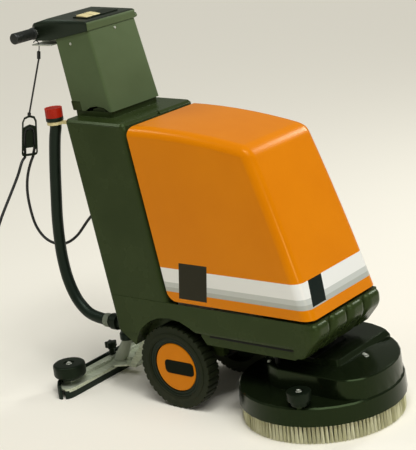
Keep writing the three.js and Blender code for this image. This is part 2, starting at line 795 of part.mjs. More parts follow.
// Clean water tank with its filler neck, and the cap
function makeCleanTank() {
  const archTop = wheelRadius + archRadius + wall + 1;
  const rear = columnFront(trayTop) + 18 + 3;
  const front = deckX - motorRadius - 14;
  const low = panBottom + wall + 1 + seat;
  const side = (grow, topZ) => rounded([
    [rear + grow, archTop + seat + grow, 12],
    [archRadius + 18 + grow, archTop + seat + grow, 4],
    [archRadius + 18 + grow, low + grow, 6],
    [valveX - 32 - grow, low + grow, 6],
    [valveX - 32 - grow, archTop + 6 + grow, 4],
    [front - grow, archTop + 6 + grow, 10],
    [front - grow, topZ, 14],
    [rear + grow, topZ, 14],
  ]);
  const shell = extrudeY(side(0, tankTop), -tankHalfWidth, tankHalfWidth);
  const room = extrudeY(side(tankWall, tankTop - tankWall), -tankHalfWidth + tankWall, tankHalfWidth - tankWall);
  const neck = rodZ(fillerX, 0, fillerRadius, tankTop - 1, tankTop + 20, medium);
  const mouth = rodZ(fillerX, 0, fillerRadius - 4, tankTop - 20, tankTop + 30, medium);
  addMesh('clean_water_tank', cut(join(shell, neck), room, mouth), clearPlastic);
  const capInner = boreFor(fillerRadius, medium, 0.6);
  const cap = turned(
    [
      [0, tankTop + 20 + seat],
      [capInner, tankTop + 20 + seat],
      [capInner, tankTop + 4],
      [capInner + 5, tankTop + 4],
      [capInner + 5, tankTop + 26],
      [capInner + 2, tankTop + 29],
      [0, tankTop + 29],
    ],
    medium,
  ).translate([fillerX, 0, 0]);
  addMesh('filler_cap', cap, blackPlastic);
}

// Suction motor and fan case on the tank, with the duct that joins the column
function makeSuction() {
  const x = suctionX;
  const foot = tankTop + seat;
  const fan = foot + suctionMotorHeight;
  const shell = turned(
    [
      [0, foot],
      [suctionMotorRadius, foot],
      [suctionMotorRadius, fan],
      [fanRadius, fan],
      [fanRadius, fan + fanHeight],
      [0, fan + fanHeight],
    ],
    medium,
  ).translate([x, 0, 0]);
  const duct = rodX(0, ductZ, ductRadius + ductWall, columnFront(ductZ) - wall - 2, x - fanRadius + 6, small);
  const room = rodZ(x, 0, fanRadius - 5, fan + 5, fan + fanHeight - 5, medium);
  const bore = rodX(0, ductZ, ductRadius, columnFront(ductZ) - wall - 8, x - fanRadius + 20, small);
  const outlet = box(x - 22, x + 22, fanRadius - 22, fanRadius + 6, fan + 12, fan + fanHeight - 12);
  const shaftRoom = rodZ(x, 0, boreFor(fanShaftRadius, medium), fan - 30, fan + 8, medium);
  addMesh('suction_motor', cut(join(shell, duct), room, bore, outlet, shaftRoom), blackPlastic);
  const disc = rodZ(x, 0, fanRadius - 12, fan + 12, fan + 16, medium);
  const hub = rodZ(x, 0, 14, fan + 9, fan + fanHeight - 14, tiny);
  const shaft = rodZ(x, 0, fanShaftRadius, fan - 24, fan + 12, medium);
  const vanes = [];
  for (let k = 0; k < 6; k += 1) {
    vanes.push(box(10, fanRadius - 14, -1.5, 1.5, fan + 15, fan + fanHeight - 16).rotate([0, 0, 60 * k]).translate([x, 0, 0]));
  }
  addMesh('suction_impeller', join(disc, hub, shaft, ...vanes), blackPlastic);
}

const suctionX = 84;

// In the recovery tank: the rising pipe, the suction port with the float's cage, and the float
function makeTankFittings() {
  const rise = (z) => columnRear(z) + 60;
  const pipe = (radius, over) => join(
    rodBetween(alongStub(-22 - over), alongStub(36), radius, small),
    tubeAlong(
      [
        alongStub(20),
        alongStub(36),
        [rise(trayTop) + 6, 0, trayTop - 34],
        [rise(trayTop + 118), 0, trayTop + 118],
        [rise(pipeTop), 0, pipeTop + over],
      ],
      radius,
      small,
      5,
    ),
  );
  addMesh('rising_pipe', cut(pipe(hoseRadius, 0), pipe(hoseRadius - 2.5, 2)), blackPlastic);
  const portX = columnFront(ductZ) - wall - portReach;
  const portEnd = columnFront(ductZ) - wall - 2 - seat;
  const portLow = ductZ - portDrop;
  const portHigh = ductZ + portRise;
  const outer = join(
    rodX(0, ductZ, ductRadius + ductWall, portX - 6, portEnd, small),
    rodZ(portX, 0, ductRadius + ductWall, portLow, portHigh, small),
  );
  const inner = join(
    rodX(0, ductZ, ductRadius, portX - 4, portEnd + 4, small),
    rodZ(portX, 0, ductRadius, portLow - 10, portHigh - 4, small),
  );
  const cageLow = portLow - cageHeight;
  const bars = [];
  for (let k = 0; k < 3; k += 1) {
    const bar = box(ductRadius + 3, ductRadius + 6, -2, 2, cageLow, portLow + 6);
    bars.push(bar.rotate([0, 0, 60 + 120 * k]).translate([portX, 0, 0]));
  }
  const floor = rodZ(portX, 0, ductRadius + 6, cageLow, cageLow + 3, small);
  const collar = rodZ(portX, 0, ductRadius + 6, portLow, portLow + 6, small);
  addMesh('suction_port', cut(join(outer, collar, ...bars, floor), inner), blackPlastic);
  const ball = new THREE.SphereGeometry(floatRadius, 12, 8).rotateX(Math.PI / 2);
  addMesh('float_ball', solidOf(ball).translate([portX, 0, cageLow + 3 + seat + floatRadius]), creamPlastic);
}

const floatRadius = 19;

// Hood and its hinge: two ears inside the hood turn on a rod held by a bracket on the column
const hingeX = hoodRear(hoodTopRear) + 16;
const hingeZ = hoodTopRear - 18;
const earY = 98;

function makeHood() {
  const rearHalf = (z) => bodyHalfWidth - 0.5 - 0.01 * (z - hoodBottom);
  const frontHalf = (z) => bodyHalfWidth - 0.5 - 0.034 * (z - hoodBottom);
  const rise = hoodTopRear - hoodBottom;
  const shape = (inset) => ({
    rear: (z) => hoodRear(z) - (inset > 0 ? 60 : 0),
    front: (z) => hoodFront(z) - inset * 1.06,
    half: (z) => rearHalf(z) - inset,
    frontHalf: (z) => frontHalf(z) - inset,
    bottom: hoodBottom - (inset > 0 ? 30 : 0),
    levels: [0.3, 0.62].map((part) => hoodBottom + part * rise),
    topLine: (x) => hoodTopAt(x) - inset,
    edge: hoodEdge - inset,
    corner: hoodEdge - inset,
    footCorner: 18 - inset,
    rearCorner: 0.6,
    sideSteps: 3,
  });
  const crest = [hoodFrontX + 12, 380, 300, 220, 130, 40].map((x) => [x, hoodTopAt(x) + 0.3]);
  const trim = extrudeY(
    rounded([
      [hoodRear(hoodBottom), hoodBottom, hoodRearBottomRound],
      [hoodFrontX - 3, hoodBottom],
      [hoodFrontX + 12, hoodBottom + 40],
      ...crest,
      [hoodRear(hoodTopRear), hoodTopRear + 0.3, hoodRearTopRound],
    ]),
    -bodyHalfWidth - 5,
    bodyHalfWidth + 5,
  );
  const shell = cut(common(leaningBox(shape(0)), trim), leaningBox(shape(hoodWall)));
  const ears = [-1, 1].map((side) => {
    const y = side * earY;
    const plate = extrudeY(
      [
        [hingeX - 7, hingeZ],
        [hingeX, hingeZ - 9],
        [hingeX + 8, hingeZ - 8],
        [hingeX + 40, hoodTopAt(hingeX + 40) - 1.5],
        [hingeX + 4, hoodTopAt(hingeX) - 1.5],
        [hingeX - 5, hoodTopAt(hingeX) - 1.5],
      ],
      y - 3,
      y + 3,
    );
    return join(plate, rodY(hingeX, hingeZ, 9, y - 3, y + 3, small));
  });
  const bores = rodY(hingeX, hingeZ, boreFor(hingeRodRadius, small), -earY - 8, earY + 8, small);
  addMesh('hood', cut(join(shell, ...ears), bores), orangePlastic);

  const bracketEars = [-1, 1].map((side) => {
    const y = side * (earY + 8);
    const outline = rounded([
      [columnFront(hingeZ - 36) + 1, hingeZ - 40],
      [hingeX + 4, hingeZ - 12, 6],
      [hingeX + 9, hingeZ + 2, 6],
      [hingeX - 2, hingeZ + 9, 6],
      [columnFront(hingeZ - 18) + 1, hingeZ - 18],
    ]);
    return extrudeY(outline, y - 3, y + 3);
  });
  const wallPlate = extrudeY(
    [
      [columnFront(hingeZ - hingePlateDrop) + seat, hingeZ - hingePlateDrop],
      [columnFront(hingeZ - hingePlateDrop) + seat + 4, hingeZ - hingePlateDrop],
      [columnFront(hingeZ - 18) + seat + 4, hingeZ - 18],
      [columnFront(hingeZ - 18) + seat, hingeZ - 18],
    ],
    -earY - 11,
    earY + 11,
  );
  addMesh('hinge_bracket', cut(join(wallPlate, ...bracketEars), bores.scale([1, 1.3, 1])), steel);
  addMesh('hinge_rod', rodY(hingeX, hingeZ, hingeRodRadius, -earY - 12, earY + 12, small), steel);
}

// Lid of the recovery tank, which also carries the console
const lidTop = consoleBottom - seat;
function makeLid() {
  const boxed = (by, bottom, topLine, edge) => leaningBox({
    rear: (z) => columnRear(z) + by,
    front: (z) => columnFront(z) - by,
    half: (z) => bodyHalf(z) - by,
    bottom,
    topLine,
    edge,
    corner: columnRound - by,
  });
  const plate = boxed(0, columnTop - 15, (x) => columnTopAt(x) + lidThickness, lidThickness - 1.5);
  const below = boxed(-20, columnTop - 60, (x) => columnTopAt(x) + seat, 1);
  const plug = boxed(wall + 2, columnTop - 16, (x) => columnTopAt(x) + lidThickness - 2, 2);
  const plinth = extrudeZ(
    rounded([
      [consoleRearX + 4, -consoleHalfWidth + 3, 10],
      [consoleFrontX - 5, -consoleHalfWidth + 3, 10],
      [consoleFrontX - 5, consoleHalfWidth - 3, 10],
      [consoleRearX + 4, consoleHalfWidth - 3, 10],
    ]),
    columnTop + 2,
    lidTop,
  );
  const hump = common(
    rodY((consoleRearX + consoleFrontX) / 2 + 18, lidTop - 30, 41, -consoleHalfWidth + 8, consoleHalfWidth - 8, medium),
    box(-400, 0, -200, 200, lidTop - 2, lidTop + 40),
  );
  const catchNotch = box(columnFront(columnTop) - 11, 0, -7, 7, columnTop - 4, columnTop + 20);
  return join(cut(plate, below, catchNotch), plug, plinth, hump);
}

// Console shell, its foot bar and the control head with bezel and rockers
const consoleTopRearZ = handleZ - 17;
const consoleTopFrontZ = handleZ + 7;
const consoleRear = (z) => consoleRearX - 0.174 * (z - consoleBottom);
const consoleFront = (z) => consoleFrontX - 0.232 * (z - consoleBottom);
const consoleTopSlope = -(consoleTopFrontZ - consoleTopRearZ) / (consoleFront(consoleTopFrontZ) - consoleRear(consoleTopRearZ));
const headUnderX = consoleRear(consoleTopRearZ) - 14;
const noseDepth = 20.5;
const consoleTopAt = (x) => consoleTopRearZ - consoleTopSlope * (x - consoleRear(consoleTopRearZ));

function makeConsole() {
  const shape = (inset) => ({
    rear: (z) => consoleRear(z) + inset,
    front: (z) => consoleFront(z) - inset,
    half: (z) => consoleHalfWidth - 0.014 * (z - consoleBottom) - inset,
    bottom: consoleBottom - (inset > 0 ? 10 : 0),
    topLine: (x) => consoleTopAt(x) + (inset > 0 ? 30 : 0),
    edge: 0.6,
    corner: Math.max(7 - inset, 2),
  });
  const arch = rodY((consoleRearX + consoleFrontX) / 2 + 18, 0, 1, -200, 200, medium)
    .scale([48, 1, 26]).translate([((consoleRearX + consoleFrontX) / 2 + 18) * (1 - 48), 0, consoleBottom - 12]);
  const footTop = consoleBottom + consoleFootHeight + seat;
  const notch = extrudeY(
    [
      [consoleRear(consoleBottom - 5) - 20, consoleBottom - 5],
      [consoleRear(consoleBottom - 5) + 34, consoleBottom - 5],
      [consoleRear(footTop) + 34, footTop],
      [consoleRear(footTop) - 20, footTop],
    ],
    -200,
    200,
  );
  addMesh('console_shell', cut(leaningBox(shape(0)), leaningBox(shape(consoleWall)), arch, notch), darkPlastic);
  const bar = extrudeY(
    [
      [consoleRear(consoleBottom), consoleBottom],
      [consoleRear(consoleBottom) + 34 - seat, consoleBottom],
      [consoleRear(footTop) + 34 - seat, footTop - seat],
      [consoleRear(footTop), footTop - seat],
    ],
    -consoleHalfWidth + 1,
    consoleHalfWidth - 1,
  );
  addMesh('console_foot', bar, blackPlastic);
}

const headTopAt = (x) => consoleTopAt(headFrontX) + headThickness - 0.045 * (x - headFrontX);
const headFrontX = consoleFront(consoleTopFrontZ) + 2;
const headHalf = consoleHalfWidth;
const bezelX0 = headFrontX - 82;
const bezelX1 = headFrontX - 30;
const bezelHalf = 2 * rockerWidth + 7;

function makeHead() {
  const nose = [[18, 31], [3, 27.5], [-7, 22], [-14, 14], [-18, 4], [-17, -5], [-12, -13], [-4, -18.5], [6, -noseDepth]]
    .map(([x, z]) => [handleX + (x < 0 ? (x * noseReach) / 18 : x), handleZ + z]);
  const outline = [
    [headFrontX, consoleTopAt(headFrontX) + seat],
    ...rounded([
      [headFrontX, consoleTopAt(headFrontX) + seat],
      [headFrontX, headTopAt(headFrontX), 9],
      [handleX + 46, headTopAt(handleX + 46)],
    ]).slice(1),
    ...nose,
    [headUnderX, consoleTopAt(headUnderX) + seat],
  ];
  const body = extrudeY(outline, -headHalf, headHalf);
  const plan = extrudeZ(
    rounded([
      [handleX - noseReach, -headHalf, 22],
      [headFrontX, -headHalf, 6],
      [headFrontX, headHalf, 6],
      [handleX - noseReach, headHalf, 22],
    ]),
    consoleBottom,
    consoleTopFrontZ + 100,
  );
  const topMost = headTopAt(handleX) + 0.5;
  const crown = extrudeX(
    rounded([
      [-headHalf - 0.5, consoleBottom],
      [headHalf + 0.5, consoleBottom],
      [headHalf + 0.5, topMost, headRound],
      [-headHalf - 0.5, topMost, headRound],
    ], 5),
    handleX - 60,
    headFrontX + 60,
  );
  const room = box(consoleRear(consoleTopRearZ) + 8, headFrontX - 6, -headHalf + 8, headHalf - 8, consoleTopRearZ - 10, headTopAt(bezelX1) - 4);
  const bezelHole = box(bezelX0 + 3, bezelX1 - 3, -bezelHalf + 3, bezelHalf - 3, consoleTopRearZ, headTopAt(bezelX0) + 20);
  const tubeBore = rodY(handleX, handleZ, boreFor(handleRadius, medium), -headHalf - 5, headHalf + 5);
  const sideKnob = rodY(headFrontX - 8, headTopAt(headFrontX) - 18, 7, headHalf - 2, headHalf + 6, small);
  addMesh('control_head', cut(join(common(body, plan, crown), sideKnob), room, bezelHole, tubeBore), darkPlastic);

  // The bezel sits on the sloping top; two cream rockers turn in it, the other half is blank
  const bezelFloor = (x) => headTopAt(x) + seat;
  const rim = extrudeY(
    [
      [bezelX0, bezelFloor(bezelX0)],
      [bezelX1, bezelFloor(bezelX1)],
      [bezelX1, bezelFloor(bezelX1) + 2.5],
      [bezelX0, bezelFloor(bezelX0) + 2.5],
    ],
    -bezelHalf,
    bezelHalf,
  );
  const cups = [0, 1].map((k) => {
    const y = rockerY(k);
    return box(rockerX - rockerLength / 2 - 1, rockerX + rockerLength / 2 + 1, y - rockerWidth / 2 - 1, y + rockerWidth / 2 + 1, rockerZ - 30, rockerZ + 20);
  });
  const block = box(bezelX0 + 4, bezelX1 - 4, -bezelHalf + 4, 4, rockerZ - 14, bezelFloor(bezelX1) + 1);
  const pivots = rodY(rockerX, rockerZ, 2, -bezelHalf + 3, 3, small);
  addMesh('switch_bezel', join(cut(join(rim, block), ...cups), pivots), blackPlastic);
  ['brush', 'suction'].forEach((label, k) => {
    const y = rockerY(k);
    const half = rockerLength / 2 - 0.6;
    const outlineRocker = [[-half, -6], [-4, -9], [4, -9], [half, -6], [half, 2], [0, 5], [-half, 7]]
      .map(([x, z]) => [rockerX + x, rockerZ + z]);
    const body = extrudeY(outlineRocker, y - rockerWidth / 2 + 0.4, y + rockerWidth / 2 - 0.4);
    addMesh(`rocker_${label}`, cut(body, rodY(rockerX, rockerZ, boreFor(2, small), -200, 200, small)), creamPlastic);
  });
}

const rockerX = (bezelX0 + bezelX1) / 2;
const rockerZ = headTopAt(rockerX) - 2;
const rockerY = (k) => -bezelHalf + 4 + rockerWidth / 2 + 1 + k * (rockerWidth + 3);

// Handle tube through the head's nose, with a ribbed grip and end cap on each side
function makeHandle() {
  addMesh('handle_tube', cut(
    rodY(handleX, handleZ, handleRadius, -handleHalfLength, handleHalfLength),
    rodY(handleX, handleZ, handleRadius - 2, -handleHalfLength - 1, handleHalfLength + 1),
  ), steel);
  for (const [label, side] of [['right', -1], ['left', 1]]) {
    const innerEnd = handleHalfLength - gripLength + 4;
    const profile = [[boreFor(handleRadius, medium), innerEnd]];
    profile.push([gripRadius + 1.5, innerEnd], [gripRadius + 1.5, innerEnd + 4]);
    const ribs = 3;
    for (let k = 0; k < ribs; k += 1) {
      const start = innerEnd + 8 + (k * (gripLength - 22)) / ribs;
      profile.push([gripRadius - 1, start], [gripRadius, start + 2], [gripRadius, start + 13]);
    }
    const end = handleHalfLength + 4;
    profile.push([gripRadius, end - 9], [gripRadius, end - 1.5], [gripRadius - 1.5, end], [0, end]);
    profile.push([0, handleHalfLength + seat], [boreFor(handleRadius, medium), handleHalfLength + seat]);
    const grip = turnedY(profile.map(([r, y]) => [r, side * y]), medium).translate([handleX, 0, handleZ]);
    addMesh(`grip_${label}`, grip, blackRubber);
  }
}

// Squeegee: arm on the frame's ears, plate with its lips, rollers, knob and nozzle, and the suction hose
const plateTop = plateBottom + plateThickness;
const ribTop = plateTop + ribHeight;
const armZ = plateTop + seat;

function makeSqueegee() {
  const eyeOutline = rounded([
    [liftX + 13, liftZ + 5, 11],
    [liftX - 8, liftZ + 14, 12],
    [liftX - 40, liftZ - 22, 20],
    [swingX + 34, armZ + 12, 8],
    [swingX + 30, armZ, 2],
    [swingX + 48, armZ, 4],
    [liftX + 2, liftZ - 14, 12],
  ]);
  const bars = [-1, 1].map((side) => extrudeY(eyeOutline, side * 33.5 - 2.5, side * 33.5 + 2.5));
  const plate = extrudeZ(
    rounded([
      [swingX - 9, -9, 8],
      [swingX + 26, -36],
      [swingX + 52, -36, 6],
      [swingX + 52, 36, 6],
      [swingX + 26, 36],
      [swingX - 9, 9, 8],
    ]),
    armZ,
    armZ + 5,
  );
  const eyes = rodY(liftX, liftZ, boreFor(5, small), -45, 45, small);
  const pinHole = rodZ(swingX, 0, boreFor(swingPinRadius, small), armZ - 20, armZ + 25, small);
  addMesh('squeegee_arm', cut(join(plate, ...bars), eyes, pinHole), zinc);

  const rear = squeegeeRear;
  const front = squeegeeFront;
  const mirrored = (half) => [...half].reverse().map(([x, y]) => [x, -y]);
  const bothEnds = (half) => [...half, ...mirrored(half)];
  const end = [
    [rear, -squeegeeHalf + 48],
    [rear + 13, -squeegeeHalf + 26],
    [rear + 34, -squeegeeHalf + 4],
    [front - 11, -squeegeeHalf + 8],
    [front - 3, -squeegeeHalf + 15],
    [front, -squeegeeHalf + 31],
    [front, -54],
  ];
  const tongue = rounded([
    [front, -54],
    [front, -50, 8],
    [swingX + 16, -24, 12],
    [swingX + 16, 24, 12],
    [front, 50, 8],
    [front, 54],
  ]).slice(1, -1);
  const flat = extrudeZ([...end, ...tongue, ...mirrored(end)], plateBottom, plateTop);
  const ribFront = front - 22;
  const rib = extrudeY(
    rounded([[rear + 6, plateTop - 1], [ribFront, plateTop - 1], [ribFront - 4, ribTop, 3], [rear + 10, ribTop, 3]]),
    -squeegeeHalf + 46,
    squeegeeHalf - 46,
  );
  const ribCut = box(nozzleX - nozzleHalf - 2, ribFront + 10, -nozzleHalf - 2, nozzleHalf + 2, plateTop, ribTop + 5);
  const pin = rodZ(swingX, 0, swingPinRadius, plateTop - 1, armZ + 5 + runGap + 5, small);
  const pinHead = rodZ(swingX, 0, swingPinRadius + 4, armZ + 5 + runGap, armZ + 5 + runGap + 4, small);
  const studs = [-1, 1].map((side) => rodZ(rollerMidX, side * rollerMidY, rollerStudRadius, ribTop - 1, ribTop + 4 + squeegeeRollerHeight - 6, small));
  const bosses = [-1, 1].map((side) => rodZ(rollerMidX, side * rollerMidY, 13, ribTop - 1, ribTop + 4 - runGap, small));
  const stud = rodZ(knobX, 0, 4, ribTop - 1, ribTop + 26, small);
  addMesh('squeegee_plate', join(cut(join(flat, rib), ribCut), pin, pinHead, ...studs, ...bosses, stud), zinc);

  // Each lip is a ribbon of even thickness, bent at both ends
  const ribbon = (centres, z0, z1) => {
    const h = lipThickness / 2;
    const sides = [-1, 1].map((side) => centres.map(([x, y], i) => {
      const before = new THREE.Vector2(...centres[Math.max(i - 1, 0)]);
      const after = new THREE.Vector2(...centres[Math.min(i + 1, centres.length - 1)]);
      const along = after.sub(before).normalize();
      return [x + side * h * along.y, y - side * h * along.x];
    }));
    return extrudeZ([...sides[1], ...sides[0].reverse()], z0, z1);
  };
  const frontX = front + lipThickness / 2 + seat;
  const rearX = rear - lipThickness / 2 - seat;
  const frontEnd = [[front - 8, -squeegeeHalf + 2.5], [front - 1, -squeegeeHalf + 9], [frontX - 1, -squeegeeHalf + 19], [frontX, -squeegeeHalf + 30]];
  const rearEnd = [
    [front - 16, -squeegeeHalf - 1],
    [front - 20, -squeegeeHalf - 4],
    [front - 26, -squeegeeHalf - 3.5],
    [rear + 10, -squeegeeHalf + 21],
    [rearX, -squeegeeHalf + 45],
  ];
  addMesh('front_lip', ribbon(bothEnds(frontEnd), 0, plateBottom - seat), blackRubber);
  addMesh('rear_lip', ribbon(bothEnds(rearEnd), 0, rearLipHeight), blackRubber);

  // Slanted nozzle between the lips, with a round spigot for the hose
  const mouth = [nozzleX, 0, plateTop + seat];
  const throat = [spigotX, 0, spigotZ];
  const shell = rodBetween(mouth, throat, nozzleHalf, medium, spigotRadius);
  const spigot = rodZ(spigotX, 0, spigotRadius, spigotZ - 8, spigotZ + 16);
  const flange = rodZ(nozzleX, 0, nozzleHalf + 1, plateTop + seat, plateTop + seat + 4);
  const trim = box(-500, 0, -100, 100, plateTop + seat, 200);
  const bore = join(rodBetween([nozzleX - 2, 0, plateTop - 5], throat, nozzleHalf - 4, medium, hoseRadius - 6), rodZ(spigotX, 0, hoseRadius - 6, spigotZ - 2, spigotZ + 30));
  addMesh('squeegee_nozzle', cut(common(join(shell, spigot, flange), trim), bore), greyPlastic);

  const hosePath = [
    [spigotX, 0, spigotZ + 8],
    [spigotX + 1, 0, spigotZ + 24],
    [spigotX + 18, 0, spigotZ + 42],
    [spigotX + 50, 0, spigotZ + 50],
    [spigotX + 84, 0, spigotZ + 48],
    alongStub(-42),
    alongStub(-26),
  ];
  const hose = tubeAlong(hosePath, hoseRadius + 1, small, 10);
  const cuff = rodBetween(alongStub(-32), alongStub(-13), hoseRadius + hoseGap + 4);
  const cuffRoom = rodBetween(alongStub(-28), alongStub(0), hoseRadius + hoseGap);
  const lowCuff = rodZ(spigotX, 0, hoseRadius + 3, spigotZ + 5, spigotZ + 22);
  const lowRoom = rodZ(spigotX, 0, boreFor(spigotRadius, medium), spigotZ - 4, spigotZ + 16 + seat);
  addMesh('suction_hose', cut(join(hose, cuff, lowCuff), cuffRoom, lowRoom), blackRubber);

  const knob = join(
    rodZ(knobX, 0, 11.5, ribTop + 3, ribTop + 6, small),
    rodZ(knobX, 0, 8, ribTop + 4, ribTop + 24, small),
    rodZ(knobX, 0, 12, ribTop + 21, ribTop + 41, small),
    ...[0, 1, 2, 3, 4].map((k) => {
      const angle = THREE.MathUtils.degToRad(72 * k);
      return rodZ(knobX + 12 * Math.cos(angle), 12 * Math.sin(angle), 6.5, ribTop + 21, ribTop + 40, tiny);
    }),
  );
  addMesh('star_knob', cut(knob, rodZ(knobX, 0, boreFor(4, small), 0, ribTop + 26 + 2, small)), blackPlastic);

  for (const [label, side] of [['right', -1], ['left', 1]]) {
    const low = ribTop + 4;
    const bore = boreFor(rollerStudRadius, small);
    const roller = turned(
      [
        [bore, low],
        [squeegeeRollerRadius - 14, low],
        [squeegeeRollerRadius, low + 10],
        [squeegeeRollerRadius, low + squeegeeRollerHeight - 4],
        [squeegeeRollerRadius - 5, low + squeegeeRollerHeight],
        [bore, low + squeegeeRollerHeight],
      ],
      fine,
    ).translate([rollerMidX, side * rollerMidY, 0]);
    addMesh(`squeegee_roller_${label}`, roller, blackPlastic);
  }
}

const rollerMidX = -371;
const rollerMidY = squeegeeHalf - 58;
const swingPinRadius = 5;
const nozzleX = -345;
const nozzleHalf = 20;
const spigotX = swingX;
const spigotZ = 96;
const spigotRadius = hoseRadius - 3;
const knobX = -378.5;

// Drain hose from the outlet at the column's foot up to its hook, closed by a red screw cap
function makeDrain() {
  const outletEnd = rearFoot[0] - 44;
  const outletWallX = columnRear(outletZ);
  const outlet = join(
    rodX(drainY, outletZ, drainRadius - 4, outletEnd - 22, outletWallX + wall - 1),
    rodX(drainY, outletZ, drainRadius + 7, outletEnd, outletEnd + 22),
    rodX(drainY, outletZ, drainRadius, outletEnd + 20, outletWallX - 5),
  );
  const outletBore = rodX(drainY, outletZ, drainRadius - 7, outletEnd - 30, outletWallX + wall + 5);
  addMesh('drain_outlet', cut(outlet, outletBore), blackPlastic);
  const hoseEnd = [outletEnd - 2, drainY, outletZ];
  const topX = -346;
  const topZ = 778;
  const path = [
    hoseEnd,
    [hoseEnd[0] - 30, drainY, outletZ + 0.5],
    [-322, drainY, 218],
    [-354, drainY, 243],
    [-373, drainY, 271],
    [-389, drainY, 314],
    [-397, drainY, 363],
    [-399, drainY, 412],
    [-395, drainY, 486],
    [-385, drainY, 560],
    [-370, drainY, 656],
    [-355, drainY, 728],
    [topX, drainY, topZ - 20],
    [topX, drainY, topZ],
  ];
  const hose = tubeAlong(path, drainRadius, small, 16);
  const socket = rodX(drainY, outletZ, boreFor(drainRadius - 4, medium), outletEnd - 26, outletEnd + 2);
  const clampX = outletEnd - 16;
  const clamp = cut(
    rodX(drainY, outletZ, drainRadius + 3.5, clampX - 9, clampX + 9),
    rodX(drainY, outletZ, drainRadius + 1.5, clampX - 12, clampX + 12),
  );
  addMesh('hose_clamp', clamp, steel);
  const collar = turned(
    [
      [capRadius - 12, topZ - 4],
      [capRadius + 1, topZ - 4],
      [capRadius + 1, topZ + 6],
      [capRadius - 6, topZ + 6],
      [capRadius - 6, topZ + 18],
      [capRadius - 12, topZ + 18],
    ],
    medium,
  ).translate([topX, drainY, 0]);
  addMesh('drain_hose', cut(join(hose, collar), socket), blackRubber);
  const inner = boreFor(capRadius - 6, medium, 0.5);
  const cap = turned(
    [
      [0, topZ + 20],
      [inner, topZ + 20],
      [inner, topZ + 6 + seat],
      [capRadius, topZ + 6 + seat],
      [capRadius, topZ + 7 + capHeight - 4],
      [capRadius - 3, topZ + 7 + capHeight],
      [0, topZ + 7 + capHeight],
    ],
    medium,
  );
  const ribs = [];
  for (let k = 0; k < 10; k += 1) {
    ribs.push(box(capRadius - 3, capRadius + 1, -2, 2, topZ + 9, topZ + capHeight + 1).rotate([0, 0, 36 * k]));
  }
  addMesh('drain_cap', join(cap, ...ribs).translate([topX, drainY, 0]), redPlastic);
  const hookZ = topZ - 14;
  const wallX = columnRear(hookZ);
  const hook = join(
    rodZ(topX, drainY, drainRadius + 7, hookZ, hookZ + 9),
    box(topX, wallX - 4, drainY + 4, drainY + 14, hookZ, hookZ + 9),
    extrudeY(
      [
        [columnRear(hookZ - 8) - seat, hookZ - 8],
        [columnRear(hookZ + 12) - seat, hookZ + 12],
        [columnRear(hookZ + 12) - seat - 5, hookZ + 12],
        [columnRear(hookZ - 8) - seat - 5, hookZ - 8],
      ].reverse(),
      drainY - 4,
      drainY + 22,
    ),
  );
  const hookRoom = join(
    rodZ(topX, drainY, drainRadius + 3, hookZ - 5, hookZ + 14),
    box(topX - 40, topX, drainY - 12, drainY + 8, hookZ - 5, hookZ + 14),
  );
  addMesh('hose_hook', cut(hook, hookRoom), creamPlastic);
}

// Mains cable: gland, loop to its holder, the run to the floor and a stored coil with the plug
const glandTip = () => [columnRear(glandZ) - 34, glandY, glandZ - 23];
const holderCentre = new THREE.Vector3(-478, -99, 718);
const holderSide = new THREE.Vector3(0.763, 0.646, 0);
const holderDown = new THREE.Vector3(-0.19, 0, -0.98);
const holderPoint = (across, down, out = 0) => {
  const normal = new THREE.Vector3().crossVectors(holderSide, holderDown).normalize();
  const point = holderCentre.clone().addScaledVector(holderSide, across).addScaledVector(holderDown, down).addScaledVector(normal, out);
  return [point.x, point.y, point.z];
};
const coilCentre = [-618, -446];
const dropPoints = () => {
  const enter = coilStart();
  return [
    holderPoint(-14, 62.2),
    [-492, -128, 652],
    [-496, -150, 615],
    [-501, -183, 570],
    [-507, -237, 498],
    [-512, -274, 420],
    [-517, -300, 335],
    [-524, -322, 240],
    [-533, -339, 150],
    [-543, -349, 78],
    [-549, -356, 30],
    ...enter,
  ];
};

const bracketOuterY = -consoleHalfWidth - 8;
const bracketInnerY = bracketOuterY + 44;

